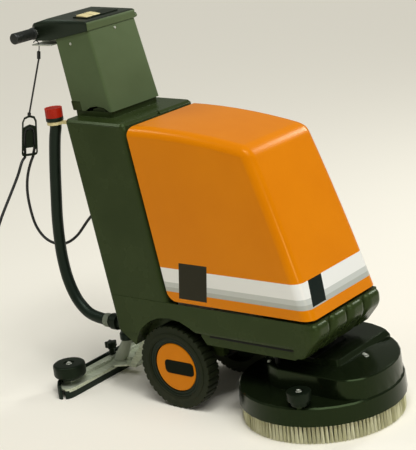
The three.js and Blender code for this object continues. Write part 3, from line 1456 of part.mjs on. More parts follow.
function makeHolderAndStrap() {
  // Bracket under the head, and the strap that hangs from its hole
  const plateZ = handleZ - noseDepth - 12;
  const plateFront = headUnderX + 6;
  const plate = extrudeZ(
    rounded([
      [handleX - 10, bracketOuterY, 4],
      [plateFront, bracketOuterY, 4],
      [plateFront, bracketInnerY, 4],
      [handleX - 10, bracketInnerY, 4],
    ]),
    plateZ,
    plateZ + 3,
  );
  const web = box(handleX - 8, plateFront - 2, bracketInnerY - 4, bracketInnerY, plateZ, handleZ - 22);
  const under = extrudeY(
    [
      [handleX - 8, handleZ - noseDepth - 4],
      [plateFront - 2, handleZ - noseDepth - 4],
      [headUnderX, consoleTopAt(headUnderX)],
      [handleX + 6, handleZ - noseDepth - seat],
      [handleX - 8, handleZ - noseDepth - seat],
    ],
    bracketInnerY - 4,
    bracketInnerY + 22,
  );
  const hookX = handleX + 6;
  const hookY = bracketOuterY + 12;
  const hole = rodZ(hookX, hookY, 6, plateZ - 5, plateZ + 8, small);
  addMesh('cable_bracket', cut(join(plate, web, under), hole), steel);

  const wire = tubeAlong(
    [[hookX - 13, hookY - 6, plateZ + 7], [hookX - 11, hookY - 4, plateZ + 11], [hookX - 4, hookY - 2, plateZ + 12], [hookX + 0.5, hookY, plateZ + 5], [hookX, hookY, plateZ - 6], [hookX - 4, hookY, plateZ - 20]],
    1.4,
    tiny,
    10,
  );
  const ferruleTop = [hookX - 4, hookY, plateZ - 18];
  const strapTop = [hookX - 8, hookY, plateZ - 38];
  const ferrule = rodBetween(ferruleTop, strapTop, 5, small);
  const strap = rodBetween(strapTop, holderPoint(0, -64), 2.6, small);
  const knot = rodBetween(holderPoint(0, -68), holderPoint(0, -61), 5, small);
  addMesh('cable_strap', join(wire, ferrule, strap, knot), blackRubber);

  // Flat oval frame with an inner arch and a post that the cable bends round
  const place = new THREE.Matrix4().makeBasis(
    holderSide,
    holderDown.clone().negate(),
    new THREE.Vector3().crossVectors(holderSide, holderDown.clone().negate()).normalize(),
  ).setPosition(holderCentre);
  const flat = (points, depth) => {
    const slab = new THREE.ExtrudeGeometry(outlineShape(points), { depth, bevelEnabled: false }).translate(0, 0, -depth / 2);
    return solidOf(slab.applyMatrix4(place));
  };
  const oval = (halfWidth, top, bottom, topRound, bottomRound, squeeze = 0) => rounded([
    [-halfWidth, bottom, bottomRound],
    [halfWidth, bottom, bottomRound],
    [halfWidth - squeeze, top, topRound],
    [-halfWidth + squeeze, top, topRound],
  ]);
  const frame = cut(flat(oval(23, 60, -58, 18, 8, 3), 7), flat(oval(18.5, 55.5, -53, 14, 5, 3), 9));
  const arch = cut(
    common(flat(oval(21, 33, -40, 20, 2), 7), flat([[-21, -40], [21, -40], [21, 40], [-21, 40]], 9)),
    flat(oval(16.5, 28, -46, 16, 2), 9),
  );
  const post = flat(oval(10, 20, -30, 10, 2), 12);
  const tie = flat([[-20, -34], [20, -34], [20, -30], [-20, -30]], 5);
  addMesh('cable_holder', join(frame, arch, post, tie), blackPlastic);
}

const coilTurns = () => (cableLength - 1750) / (2 * Math.PI * coilMeanRadius) / coilLayers;

// One unbroken run: each layer spirals in or out, and climbs in the half turn where it reverses
function coilPath() {
  const turns = coilTurns();
  const spiral = 2 * Math.PI * (turns - 0.5);
  const half = Math.PI;
  const outer = coilMeanRadius + (coilPitch * (turns - 0.5)) / 2;
  const stepsPerTurn = 10;
  const points = [];
  const stepAngle = (2 * Math.PI) / stepsPerTurn;
  const total = coilLayers * spiral + (coilLayers - 1) * half;
  const count = Math.round(total / stepAngle);
  for (let i = 0; i <= count; i += 1) {
    const angle = (total * i) / count;
    const layer = Math.min(Math.floor(angle / (spiral + half)), coilLayers - 1);
    const within = angle - layer * (spiral + half);
    const travelled = (Math.min(within, spiral) / (2 * Math.PI)) * coilPitch;
    const span = (spiral / (2 * Math.PI)) * coilPitch;
    const radius = layer % 2 === 0 ? outer - travelled : outer - span + travelled;
    const climb = within > spiral ? (within - spiral) / half : 0;
    const turn = coilEntry - angle;
    points.push([
      coilCentre[0] + radius * Math.cos(turn),
      coilCentre[1] + radius * Math.sin(turn),
      cableRadius + (layer + climb) * coilPitch,
    ]);
  }
  return points;
}

const coilEntry = THREE.MathUtils.degToRad(20);

// The last points before the coil: they run into it along its first tangent
function coilStart() {
  const [first, second] = coilPath();
  const tangent = new THREE.Vector3(second[0] - first[0], second[1] - first[1], 0).normalize();
  return [44, 26, 12, seat].map((back) => [first[0] - tangent.x * back, first[1] - tangent.y * back, cableRadius]);
}

// A tube whose rings stand square to the path, with flat ends
function woundTube(points, radius, sides) {
  const vertices = [];
  const faces = [];
  const up = new THREE.Vector3(0, 0, 1);
  points.forEach((point, i) => {
    const before = new THREE.Vector3(...points[Math.max(i - 1, 0)]);
    const after = new THREE.Vector3(...points[Math.min(i + 1, points.length - 1)]);
    const tangent = after.sub(before).normalize();
    const across = new THREE.Vector3().crossVectors(tangent, up).normalize();
    const over = new THREE.Vector3().crossVectors(across, tangent);
    for (let s = 0; s < sides; s += 1) {
      const angle = (2 * Math.PI * s) / sides;
      const corner = new THREE.Vector3(...point)
        .addScaledVector(across, radius * Math.cos(angle))
        .addScaledVector(over, radius * Math.sin(angle));
      vertices.push(corner.x, corner.y, corner.z);
    }
  });
  for (let i = 0; i + 1 < points.length; i += 1) {
    for (let s = 0; s < sides; s += 1) {
      const [a, b] = [i * sides + s, i * sides + ((s + 1) % sides)];
      faces.push(a, b, b + sides, a, b + sides, a + sides);
    }
  }
  const last = (points.length - 1) * sides;
  for (let s = 1; s + 1 < sides; s += 1) faces.push(0, s + 1, s, last, last + s, last + s + 1);
  const geometry = new THREE.BufferGeometry();
  geometry.setAttribute('position', new THREE.Float32BufferAttribute(vertices, 3));
  geometry.setIndex(faces);
  const solid = solidOf(geometry);
  return solid.volume() < 0 ? solidOf(geometry.setIndex(faces.reverse())) : solid;
}

// The least distance between two stretches of a path that lie at least a few diameters apart along it
function leastGap(points, radius) {
  const spacing = Math.hypot(...points[1].map((value, i) => value - points[0][i]));
  const apart = Math.ceil((8 * radius) / spacing);
  let least = Infinity;
  for (let i = 0; i < points.length; i += 1) {
    for (let j = i + apart; j < points.length; j += 1) {
      const distance = Math.hypot(points[i][0] - points[j][0], points[i][1] - points[j][1], points[i][2] - points[j][2]);
      least = Math.min(least, distance);
    }
  }
  return least - 2 * radius;
}

function makeCable() {
  const glandX = columnRear(glandZ);
  const gland = join(
    rodX(glandY, glandZ, glandRadius, glandX - 12, glandX - seat - 1, small),
    rodX(glandY, glandZ, glandRadius - 4, glandX - 14, glandX + wall, small),
    rodBetween([glandX - 11, glandY, glandZ], glandTip(), 9, small, cableRadius + 2),
  );
  const wallSide = extrudeY(
    [[columnRear(glandZ - 20) - seat, glandZ - 20], [columnRear(glandZ + 20) - seat, glandZ + 20], [columnRear(glandZ + 20) - 50, glandZ + 20], [columnRear(glandZ - 20) - 50, glandZ - 20]].reverse(),
    glandY - 20,
    glandY + 20,
  );
  const spigot = rodX(glandY, glandZ, glandRadius - 4, glandX - 4, glandX + wall, small);
  addMesh('cable_gland', join(common(gland, wallSide), spigot), blackPlastic);

  const tip = glandTip();
  const loop = [
    holderPoint(9, 61.5),
    [-492, -97, 640],
    [-506, -102, 605],
    [-515, -105, 561],
    [-516, -104, 508],
    [-507, -101, 454],
    [-488, -95, 420],
    [-462, -90, 404],
    [-430, -86, 401],
    [-400, -83, 410],
    [-368, -80, 431],
    [-344, -79, 454],
    [-322, -78, 477],
    [tip[0] - 10 * Math.SQRT1_2, glandY, tip[2] - 10 * Math.SQRT1_2],
    [tip[0] - seat, glandY, tip[2] - seat],
  ];
  addMesh('mains_cable_loop', tubeAlong(loop, cableRadius, small, 22), blackRubber);
  addMesh('mains_cable_drop', tubeAlong(dropPoints(), cableRadius, small, 24), blackRubber);

  const path = coilPath();
  addMesh('cable_coil', woundTube(path, cableRadius, 4), blackRubber);
  console.log(`cable coil: least gap to itself ${leastGap(path, cableRadius).toFixed(2)} mm over ${path.length} points`);

  // Plug: lies on the coil's top, its boot facing the cable's end
  const end = path.at(-1);
  const before = path.at(-2);
  const run = new THREE.Vector3(end[0] - before[0], end[1] - before[1], 0).normalize();
  const at = (forward, up = 0) => [end[0] + run.x * forward, end[1] + run.y * forward, end[2] + up];
  const boot = rodBetween(at(seat), at(24), cableRadius + 1.5, small, 8);
  const body = rodBetween(at(23), at(56), 15, medium, 17);
  const face = rodBetween(at(55), at(62), 17, medium, 18);
  const pins = [-1, 1].map((side) => {
    const offset = [-run.y * 9.5 * side, run.x * 9.5 * side, 0];
    return rodBetween(at(60).map((v, i) => v + offset[i]), at(80).map((v, i) => v + offset[i]), 2.4, small);
  });
  addMesh('mains_plug', join(boot, body, face, ...pins), blackPlastic);
}

addMesh('base_tank', makeBase(), darkPlastic);
makeWheel(-1, 'right');
makeWheel(1, 'left');
const axleEnd = bodyHalfWidth - 9 - seat;
addMesh('axle', rodY(0, wheelRadius, axleRadius, -axleEnd + 1, axleEnd - 1, small), steel);
addMesh('chassis_frame', makeFrame(), steel);
addMesh('deck_cover', makeDeck(), darkPlastic);
const rollerLow = skirtTop + 5 + runGap;
const deckRoller = turned(
  [
    [boreFor(rollerStudRadius, small), rollerLow],
    [deckRollerHub, rollerLow],
    [deckRollerHub, rollerLow + deckRollerStep],
    [deckRollerRadius - 3, rollerLow + deckRollerStep],
    [deckRollerRadius, rollerLow + deckRollerStep + 3],
    [deckRollerRadius, rollerLow + deckRollerHeight - 3],
    [deckRollerRadius - 3, rollerLow + deckRollerHeight],
    [boreFor(rollerStudRadius, small), rollerLow + deckRollerHeight],
  ],
  fine,
).translate([rollerX, rollerY, 0]);
addMesh('deck_roller', deckRoller, blackPlastic);
makeBrush();
makeBrushMotor();
makeCleanTank();
makeSuction();
makeTankFittings();
makeHood();
addMesh('tank_lid', makeLid(), darkPlastic);
makeConsole();
makeHead();
makeHandle();
makeSqueegee();
makeDrain();
makeHolderAndStrap();
makeCable();

const valveFoot = panBottom + wall + 1 + seat;
const valve = join(
  box(valveX - 16, valveX + 16, valveY - 16, valveY + 16, valveFoot, valveFoot + 34),
  rodX(valveY, valveFoot + 20, 6, valveX - 32 + seat, valveX - 14, small),
);
addMesh('solution_valve', valve, blackPlastic);
addMesh('solution_hose', cut(
  rodZ(valveX, valveY, 7, crownTop - 22, valveFoot - seat, small),
  rodZ(valveX, valveY, 5, crownTop - 30, valveFoot + 10, small),
), clearPlastic);

// The part's origin lies on the floor, midway along its length
machine.position.x = -(deckX + skirtRadius + handleX - noseReach) / 2;
const scrubberDrier = new THREE.Group();
scrubberDrier.add(machine);

export default scrubberDrier;
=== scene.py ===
import json
import math

import bpy
from mathutils import Matrix, Vector


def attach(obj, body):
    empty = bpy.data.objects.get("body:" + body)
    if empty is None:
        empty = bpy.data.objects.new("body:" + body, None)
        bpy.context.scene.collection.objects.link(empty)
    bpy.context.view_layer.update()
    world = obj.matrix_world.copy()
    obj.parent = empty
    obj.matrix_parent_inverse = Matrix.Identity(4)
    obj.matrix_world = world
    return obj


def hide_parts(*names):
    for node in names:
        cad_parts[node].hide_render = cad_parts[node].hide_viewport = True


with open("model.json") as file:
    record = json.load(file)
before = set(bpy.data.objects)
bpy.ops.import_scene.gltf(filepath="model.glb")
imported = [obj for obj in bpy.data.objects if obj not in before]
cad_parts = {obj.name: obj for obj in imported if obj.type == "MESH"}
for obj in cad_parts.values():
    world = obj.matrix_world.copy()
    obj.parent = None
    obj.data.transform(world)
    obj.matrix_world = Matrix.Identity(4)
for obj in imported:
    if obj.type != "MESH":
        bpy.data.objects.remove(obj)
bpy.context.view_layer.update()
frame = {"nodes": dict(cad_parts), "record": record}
print("frame loaded:", len(frame["nodes"]), "nodes")

axleShift = -85.85  # places below are in mm from the wheel axle, as the machine is drawn


def at(x, y, z):
    return Vector(((x + axleShift) / 1000, y / 1000, z / 1000))


def tone(*seen):  # a colour as it is seen, 0 to 255, made linear for the shader
    linear = [((c / 255 + 0.055) / 1.055) ** 2.4 if c > 10 else c / 3294.6 for c in seen]
    return (*linear, 1)


def addObject(name, data):
    added = bpy.data.objects.new(name, data)
    bpy.context.scene.collection.objects.link(added)
    return added


# Camera

cameraLook = {  # place in mm, turn in degrees, lens in mm
    "place": (2369.60, -2840.66, 1578.89),
    "turn": (73.3829, 6.7104, 38.3028),
    "lens": 116.63,
}


def setCamera():
    lens = bpy.data.cameras.new("camera")
    lens.lens = cameraLook["lens"]
    lens.sensor_width = 36
    lens.sensor_fit = "AUTO"
    lens.clip_end = 60
    camera = addObject("camera", lens)
    camera.location = Vector(cameraLook["place"]) / 1000
    camera.rotation_euler = [math.radians(a) for a in cameraLook["turn"]]
    bpy.context.scene.camera = camera


setCamera()
print("camera set")


# Picking, adding and finishing pieces

def deselect():
    if bpy.context.mode != "OBJECT":
        bpy.ops.object.mode_set(mode="OBJECT")
    bpy.ops.object.select_all(action="DESELECT")


def activate(piece):
    deselect()
    piece.select_set(True)
    bpy.context.view_layer.objects.active = piece


def pick(piece, kind, chosen):  # opens the piece in edit mode with what chosen() likes selected
    activate(piece)
    bpy.ops.object.mode_set(mode="EDIT")
    bpy.ops.mesh.select_mode(type=kind)
    bpy.ops.mesh.select_all(action="DESELECT")
    bpy.ops.object.mode_set(mode="OBJECT")
    mesh = piece.data
    if kind == "FACE":
        for face in mesh.polygons:
            face.select = chosen(face.center, face.normal)
    elif kind == "EDGE":
        for edge in mesh.edges:
            a, b = (mesh.vertices[i].co for i in edge.vertices)
            edge.select = chosen(a, b)
    else:
        for vertex in mesh.vertices:
            vertex.select = chosen(vertex.co)
    bpy.ops.object.mode_set(mode="EDIT")


def settle(name):
    piece = bpy.context.object
    piece.name = name
    piece.data.name = name
    bpy.ops.object.transform_apply(location=True, rotation=True, scale=True)
    return piece


def addBlock(name, low, high):
    deselect()
    bpy.ops.mesh.primitive_cube_add(size=1, location=(low + high) / 2)
    bpy.context.object.scale = high - low
    return settle(name)


def addRod(name, centre, radius, depth, axis, sides):
    deselect()
    turn = {"Z": (0, 0, 0), "Y": (math.pi / 2, 0, 0), "X": (0, math.pi / 2, 0)}[axis]
    bpy.ops.mesh.primitive_cone_add(
        vertices=sides,
        radius1=radius / 1000,
        radius2=radius / 1000,
        depth=depth / 1000,
        location=centre,
        rotation=turn,
    )
    return settle(name)


def addMesh(name, points, edges=(), faces=()):
    mesh = bpy.data.meshes.new(name)
    mesh.from_pydata(points, edges, faces)
    return addObject(name, mesh)


def editAll(piece):
    activate(piece)
    bpy.ops.object.mode_set(mode="EDIT")
    bpy.ops.mesh.select_all(action="SELECT")


def mend(piece):  # merges points that fall together and turns the faces outwards
    editAll(piece)
    bpy.ops.mesh.remove_doubles(threshold=0.000005)
    bpy.ops.mesh.normals_make_consistent(inside=False)
    bpy.ops.object.mode_set(mode="OBJECT")
    return piece


def addSpun(name, profile, centre, axis, steps):  # spins a profile of (radius, height) pairs, in mm
    along = {"Z": Vector((0, 0, 1)), "Y": Vector((0, 1, 0)), "X": Vector((1, 0, 0))}[axis]
    out = Vector((0, 1, 0)) if axis == "X" else Vector((1, 0, 0))
    points = [centre + out * (r / 1000) + along * (h / 1000) for r, h in profile]
    piece = addMesh(name, points, [(i, (i + 1) % len(points)) for i in range(len(points))])
    editAll(piece)
    bpy.ops.mesh.spin(steps=steps, angle=2 * math.pi, center=centre, axis=along)
    return mend(piece)


def smoothLine(points, each):  # a centripetal curve through the points, each span cut in that many
    line = [Vector(p) for p in points]
    ends = [line[0] * 2 - line[1]] + line + [line[-1] * 2 - line[-2]]
    result = []
    for i in range(1, len(ends) - 2):
        p0, p1, p2, p3 = ends[i - 1:i + 3]
        t = [0.0]
        for a, b in ((p0, p1), (p1, p2), (p2, p3)):
            t.append(t[-1] + max((b - a).length, 1e-6) ** 0.5)
        for s in range(each):
            u = t[1] + (t[2] - t[1]) * s / each
            a1 = p0.lerp(p1, (u - t[0]) / (t[1] - t[0]))
            a2 = p1.lerp(p2, (u - t[1]) / (t[2] - t[1]))
            a3 = p2.lerp(p3, (u - t[2]) / (t[3] - t[2]))
            b1 = a1.lerp(a2, (u - t[0]) / (t[2] - t[0]))
            b2 = a2.lerp(a3, (u - t[1]) / (t[3] - t[1]))
            result.append(b1.lerp(b2, (u - t[1]) / (t[2] - t[1])))
    return result + [line[-1]]


def addCurve(name, line, radius, roundness):
    curve = bpy.data.curves.new(name, "CURVE")
    curve.dimensions = "3D"
    curve.bevel_depth = radius / 1000
    curve.bevel_resolution = roundness
    curve.use_fill_caps = True
    spline = curve.splines.new("POLY")
    spline.points.add(len(line) - 1)
    for point, place in zip(spline.points, line):
        point.co = (*place, 1)
    return addObject(name, curve)


def addTube(name, line, radius, roundness):
    piece = addCurve(name, line, radius, roundness)
    activate(piece)
    bpy.ops.object.convert(target="MESH")
    piece.data.name = name
    return mend(piece)


def copyNode(name, node):  # the CAD solid as a clean mesh of its own
    solid = frame["nodes"][node]
    piece = addObject(name, solid.data.copy())
    piece.matrix_world = solid.matrix_world
    activate(piece)
    settle(name)
    piece.data.materials.clear()
    editAll(piece)
    bpy.ops.mesh.remove_doubles(threshold=0.00001)
    bpy.ops.mesh.dissolve_limited(angle_limit=math.radians(1.5))
    bpy.ops.object.mode_set(mode="OBJECT")
    return piece


def roundEdges(piece, width, segments=2, angle=30):
    activate(piece)
    edges = piece.modifiers.new("edges", "BEVEL")
    edges.width = width / 1000
    edges.segments = segments
    edges.limit_method = "ANGLE"
    edges.angle_limit = math.radians(angle)
    edges.use_clamp_overlap = True
    edges.miter_outer = "MITER_ARC"
    bpy.ops.object.modifier_apply(modifier="edges")
    return piece


def joinPieces(first, *others):
    deselect()
    for piece in (first, *others):
        piece.select_set(True)
    bpy.context.view_layer.objects.active = first
    bpy.ops.object.join()
    return first


def finishPiece(piece, look, body, node=None, smooth=40, weighted=True):
    activate(piece)
    piece.data.materials.clear()
    piece.data.materials.append(finish[look])
    bpy.ops.object.shade_smooth_by_angle(angle=math.radians(smooth))
    if weighted:
        even = piece.modifiers.new("even", "WEIGHTED_NORMAL")
        even.keep_sharp = True
        even.weight = 80
        bpy.ops.object.modifier_apply(modifier="even")
    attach(piece, body)
    if node:
        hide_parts(node)
    return piece


def fromSolid(name, node, width, segments, look, slot, body="machine", smooth=40):  # with its edges broken
    piece = roundEdges(copyNode(name, node), width, segments)
    return finishPiece(piece, look, body, node, smooth)


# Finishes

def setInputs(tree, node, inputs):  # each input takes a value, or is linked to another node's output
    for key, value in inputs.items():
        if isinstance(value, bpy.types.NodeSocket):
            tree.links.new(value, node.inputs[key])
        else:
            node.inputs[key].default_value = value


def addNode(tree, kind, inputs=None, **settings):
    node = tree.nodes.new(f"ShaderNode{kind}")
    for key, value in settings.items():
        setattr(node, key, value)
    setInputs(tree, node, inputs or {})
    return node


def mixTones(tree, share, under, over):
    mix = addNode(tree, "Mix", {"Factor": share, "A": under, "B": over}, data_type="RGBA")
    return mix.outputs["Result"]


dustTone = tone(150, 146, 128)


def makeFinish(name, look):
    material = bpy.data.materials.new(name)
    material.use_nodes = True
    tree = material.node_tree
    place = addNode(tree, "TexCoord").outputs["Object"]
    stretch = addNode(tree, "Mapping", {"Vector": place, "Scale": look.get("stretch", (1, 1, 1))})
    spot = stretch.outputs["Vector"]
    cloud = addNode(tree, "TexNoise", {"Vector": spot, "Scale": look.get("cloud", 9), "Detail": 4})
    grain = addNode(tree, "TexNoise", {"Vector": spot, "Scale": look["grain"], "Detail": 3})
    spread = cloud.outputs["Fac"]
    colours = addNode(tree, "ValToRGB", {"Fac": spread})
    for i, (position, shade) in enumerate(((0.3, "dark"), (0.7, "light"))):
        colours.color_ramp.elements[i].position = position
        colours.color_ramp.elements[i].color = look[shade]
    low, high = look["rough"]
    rough = addNode(tree, "MapRange", {"Value": spread, "To Min": low, "To Max": high})
    bump = addNode(tree, "Bump", {
        "Strength": look["bump"], "Distance": look.get("depth", 0.0003), "Height": grain.outputs["Fac"],
    })
    colour = colours.outputs["Color"]
    if "dust" in look:  # paler towards the floor, up to a height in mm, and broken up by the cloud
        reach, share = look["dust"]
        apart = addNode(tree, "SeparateXYZ", {"Vector": place})
        fade = addNode(tree, "MapRange", {
            "Value": apart.outputs["Z"], "From Max": reach / 1000, "To Min": share, "To Max": 0,
        })
        broken = addNode(tree, "Math", {0: fade.outputs["Result"], 1: spread}, operation="MULTIPLY")
        colour = mixTones(tree, broken.outputs["Value"], colour, dustTone)
    setInputs(tree, tree.nodes["Principled BSDF"], {
        "Base Color": colour,
        "Roughness": rough.outputs["Result"],
        "Normal": bump.outputs["Normal"],
        "Metallic": look.get("metal", 0),
        "Specular IOR Level": look.get("gloss", 0.5),
        "Specular Tint": (*look.get("tint", (1, 1, 1)), 1),
    })
    return material


def lookOf(dark, light, rough, grain, bump, **more):  # two tones, a span of roughness, the grain and its bump
    return {"dark": tone(*dark), "light": tone(*light), "rough": rough, "grain": grain, "bump": bump, **more}


finishes = {
    "darkPlastic": lookOf((40, 51, 23), (48, 59, 30), (0.22, 0.32), 900, 0.12, tint=(0.75, 1, 0.5), gloss=0.2,
                          dust=(260, 0.04)),
    "consolePlastic": lookOf((74, 88, 57), (81, 96, 64), (0.34, 0.46), 900, 0.12, tint=(0.8, 1, 0.6),
                             gloss=0.3),
    "headPlastic": lookOf((18, 24, 16), (23, 29, 19), (0.26, 0.36), 900, 0.1, tint=(0.75, 1, 0.75),
                          gloss=0.35),
    "deckPlastic": lookOf((14, 20, 9), (19, 26, 12), (0.15, 0.23), 900, 0.08, tint=(0.68, 1, 0.45),
                          gloss=0.24),
    "blackPlastic": lookOf((11, 17, 10), (16, 22, 13), (0.32, 0.45), 800, 0.15, tint=(0.74, 1, 0.66),
                           gloss=0.2),
    # near-black paint, also used as painted shade on parts under the body and along the tray
    "blackPaintAndShade": lookOf((10, 12, 8), (14, 16, 11), (0.4, 0.55), 500, 0.15, gloss=0.15),
    "tyreRubber": lookOf((14, 17, 8), (24, 27, 14), (0.5, 0.7), 500, 0.3, cloud=30, tint=(0.8, 1, 0.6),
                         gloss=0.25, dust=(110, 0.08)),
    "softRubber": lookOf((15, 22, 16), (21, 29, 21), (0.36, 0.48), 400, 0.1, cloud=25, tint=(0.75, 1, 0.8),
                         gloss=0.25),
    "gripRubber": lookOf((14, 18, 14), (22, 27, 21), (0.4, 0.55), 600, 0.2, cloud=40),
    "cordRubber": lookOf((14, 17, 14), (22, 25, 21), (0.45, 0.6), 900, 0.1, cloud=60),
    "zincPlate": lookOf((186, 193, 166), (222, 228, 206), (0.3, 0.5), 60, 0.08, stretch=(1, 8, 8), cloud=28,
                        metal=0.55, depth=0.0002),
    "steel": lookOf((164, 168, 156), (214, 216, 204), (0.22, 0.4), 80, 0.06, stretch=(1, 1, 6), cloud=40,
                    metal=0.6, depth=0.0002),
    "creamPlastic": lookOf((216, 200, 142), (232, 220, 168), (0.3, 0.42), 600, 0.08),
    "redPlastic": lookOf((166, 30, 12), (190, 38, 16), (0.32, 0.45), 700, 0.12, tint=(1, 0.5, 0.4)),
    "nozzlePlastic": lookOf((150, 158, 138), (172, 178, 158), (0.4, 0.55), 700, 0.06),
    "greyPlastic": lookOf((96, 104, 88), (120, 126, 108), (0.4, 0.55), 700, 0.15),
    "milkyTank": lookOf((214, 213, 200), (228, 227, 216), (0.3, 0.42), 300, 0.06),
    "bristleNylon": lookOf((196, 194, 150), (238, 236, 204), (0.45, 0.6), 900, 0.1, cloud=240,
                           stretch=(1, 1, 0.05)),
    "hubOrange": lookOf((214, 122, 2), (222, 130, 4), (0.3, 0.4), 700, 0.05, tint=(1, 0.58, 0.12), gloss=0.3),
    "printDark": lookOf((18, 22, 14), (23, 27, 17), (0.5, 0.6), 700, 0.04, tint=(0.85, 1, 0.7), gloss=0.05),
    "hoodOrange": lookOf((217, 124, 1), (224, 131, 2), (0.22, 0.28), 500, 0.03, cloud=5, tint=(1, 0.66, 0.25),
                         gloss=0.34),
}
finish = {name: makeFinish(name, look) for name, look in finishes.items()}

# parts under the body that take the near-black finish, which paints in the shade of the body above them
darkNodes = ("solution_hose", "solution_valve", "brush_hub")
nodeFinish = {  # the finish of a CAD node, by its material slot
    "dark_plastic": "darkPlastic", "black_plastic": "blackPlastic", "orange_plastic": "hubOrange",
    "grey_plastic": "greyPlastic", "cream_plastic": "creamPlastic", "red_plastic": "redPlastic",
    "clear_plastic": "milkyTank", "tyre_rubber": "tyreRubber", "black_rubber": "softRubber",
    "zinc": "zincPlate", "steel": "steel", "nylon": "bristleNylon",
}
for part in frame["record"]["subparts"]:
    shown = frame["nodes"][part["node"]]
    chosen = finish["blackPaintAndShade" if part["node"] in darkNodes else nodeFinish[part["material_slot"]]]
    if shown.material_slots:
        for slot in shown.material_slots:
            slot.material = chosen
    else:
        shown.data.materials.append(chosen)
print("finishes made:", len(finish))


# Mains cable: from its gland to the holder, from the holder to the floor, and the stored coil

cable = {  # in mm and degrees; the bight lies in the holder, its places are across, down and out of it
    "radius": 4,
    "gland": (-248.3, -78, 536),
    "glandTip": (-282.3, -78, 513),
    "glandWay": (-0.7071, 0, -0.7071),
    "hang": [(-322, -78, 477), (-344, -79, 454), (-368, -80, 431), (-400, -83, 410), (-430, -86, 401),
             (-462, -90, 404), (-488, -95, 420), (-507, -101, 454), (-516, -104, 508), (-515, -105, 561),
             (-506, -102, 605), (-492, -97, 640)],
    "bight": [(9, 61.5), (10, 54, 7), (13.5, 34, 5), (13.5, 8), (13, -8), (9.5, -20), (0, -25.5), (-9.5, -20),
              (-13, -8), (-14, 10), (-14, 34, 5), (-14, 54, 7), (-14, 62.2)],
    "drop": [(-492, -128, 652), (-496, -150, 615), (-501, -183, 570), (-507, -237, 498), (-512, -274, 420),
             (-517, -300, 335), (-524, -322, 240), (-533, -339, 150), (-543, -349, 78), (-549, -356, 30)],
    "holderCentre": (-478, -99, 718),
    "enter": (44, 26, 12),
    "coilCentre": (-618, -446),
    "coilRadius": 72,
    "coilSteps": 24,
    "pitch": 9.5,
    "layers": 4,
    "coilLength": 8250,
    "entry": 20,
}
holderSide = Vector((0.763, 0.646, 0))
holderDown = Vector((-0.19, 0, -0.98))
holderOut = holderSide.cross(holderDown).normalized()


def onHolder(across, down, out=0):
    return at(*cable["holderCentre"]) + (holderSide * across + holderDown * down + holderOut * out) / 1000


def coilLine():  # each layer is a flat spiral, inwards and outwards by turns, with half a turn to climb on
    pitch, layers = cable["pitch"], cable["layers"]
    turns = cable["coilLength"] / (2 * math.pi * cable["coilRadius"]) / layers - 0.5
    spiral = 2 * math.pi * turns
    outer = cable["coilRadius"] + pitch * turns / 2
    total = layers * spiral + (layers - 1) * math.pi
    count = round(total / (2 * math.pi / cable["coilSteps"]))
    line = []
    for i in range(count + 1):
        angle = total * i / count
        layer = min(int(angle / (spiral + math.pi)), layers - 1)
        within = angle - layer * (spiral + math.pi)
        travelled = min(within, spiral) / (2 * math.pi) * pitch
        radius = outer - travelled if layer % 2 == 0 else outer - turns * pitch + travelled
        climb = (within - spiral) / math.pi if within > spiral else 0
        turn = math.radians(cable["entry"]) - angle
        x = cable["coilCentre"][0] + radius * math.cos(turn)
        y = cable["coilCentre"][1] + radius * math.sin(turn)
        line.append(at(x, y, cable["radius"] + (layer + climb) * pitch))
    return line


def layCord(name, line, roundness, nodes):
    piece = addCurve(name, line, cable["radius"], roundness)
    piece.data.materials.append(finish["cordRubber"])
    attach(piece, "machine")
    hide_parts(*nodes)
    return piece


def buildCable():
    tip = at(*cable["glandTip"])
    bight = [onHolder(*p) for p in cable["bight"]]
    hang = [tip, tip + Vector(cable["glandWay"]) * 0.01] + [at(*p) for p in cable["hang"]] + bight[:1]
    hang = smoothLine(hang, 4)
    loop = layCord("mainsLoop", hang, 4, ["mains_cable_loop"])
    coil = coilLine()
    flat = (coil[1] - coil[0]).normalized()
    enter = [coil[0] - flat * back / 1000 for back in cable["enter"]]
    fall = smoothLine(bight[-1:] + [at(*p) for p in cable["drop"]] + enter + coil[:1], 4)
    lead = fall[:-1] + coil
    drop = layCord("mainsLead", lead, 3, ["mains_cable_drop", "cable_coil"])
    inHolder = addTube("cableInHolder", smoothLine(bight, 5), cable["radius"], 4)
    finishPiece(inHolder, "cordRubber", "machine", smooth=60, weighted=False)
    lengths = [sum((b - a).length for a, b in zip(line, line[1:])) for line in (hang, lead)]
    return loop, drop, inHolder, lengths, coil


plug = {
    "body": [(0, 0.3), (5.5, 0.3), (5.8, 4), (5.2, 5), (6.2, 9), (5.6, 10), (6.8, 14), (6.2, 15), (7.6, 20),
             (9, 23), (13, 26), (15.4, 31), (16.6, 40), (17, 50), (18, 54), (18, 61), (17, 62), (0, 62)],
    "pin": {"x": 70.5, "y": 9.5, "radius": 2.4, "length": 19},
}


def buildPlug(coil):
    run = coil[-1] - coil[-2]
    body = addSpun("mainsPlug", plug["body"], Vector((0, 0, 0)), "X", 40)
    shape = plug["pin"]
    pins = []
    for side in (-1, 1):
        middle = Vector((shape["x"], side * shape["y"], 0)) / 1000
        pins.append(roundEdges(addRod("plugPin", middle, shape["radius"], shape["length"], "X", 20), 0.8))
    metal = joinPieces(*pins)
    metal.name = "plugPins"
    turn = Matrix.Translation(coil[-1]) @ Matrix.Rotation(math.atan2(run.y, run.x), 4, "Z")
    for piece in (body, metal):
        piece.data.transform(turn)
    finishPiece(body, "blackPlastic", "machine", "mains_plug", 50)
    finishPiece(metal, "steel", "machine")
    return body, metal


mainsLoop, mainsLead, cableInHolder, cableLengths, coilPoints = buildCable()
plugBody, plugPins = buildPlug(coilPoints)
print("mains cable:", [round(v, 3) for v in cableLengths])

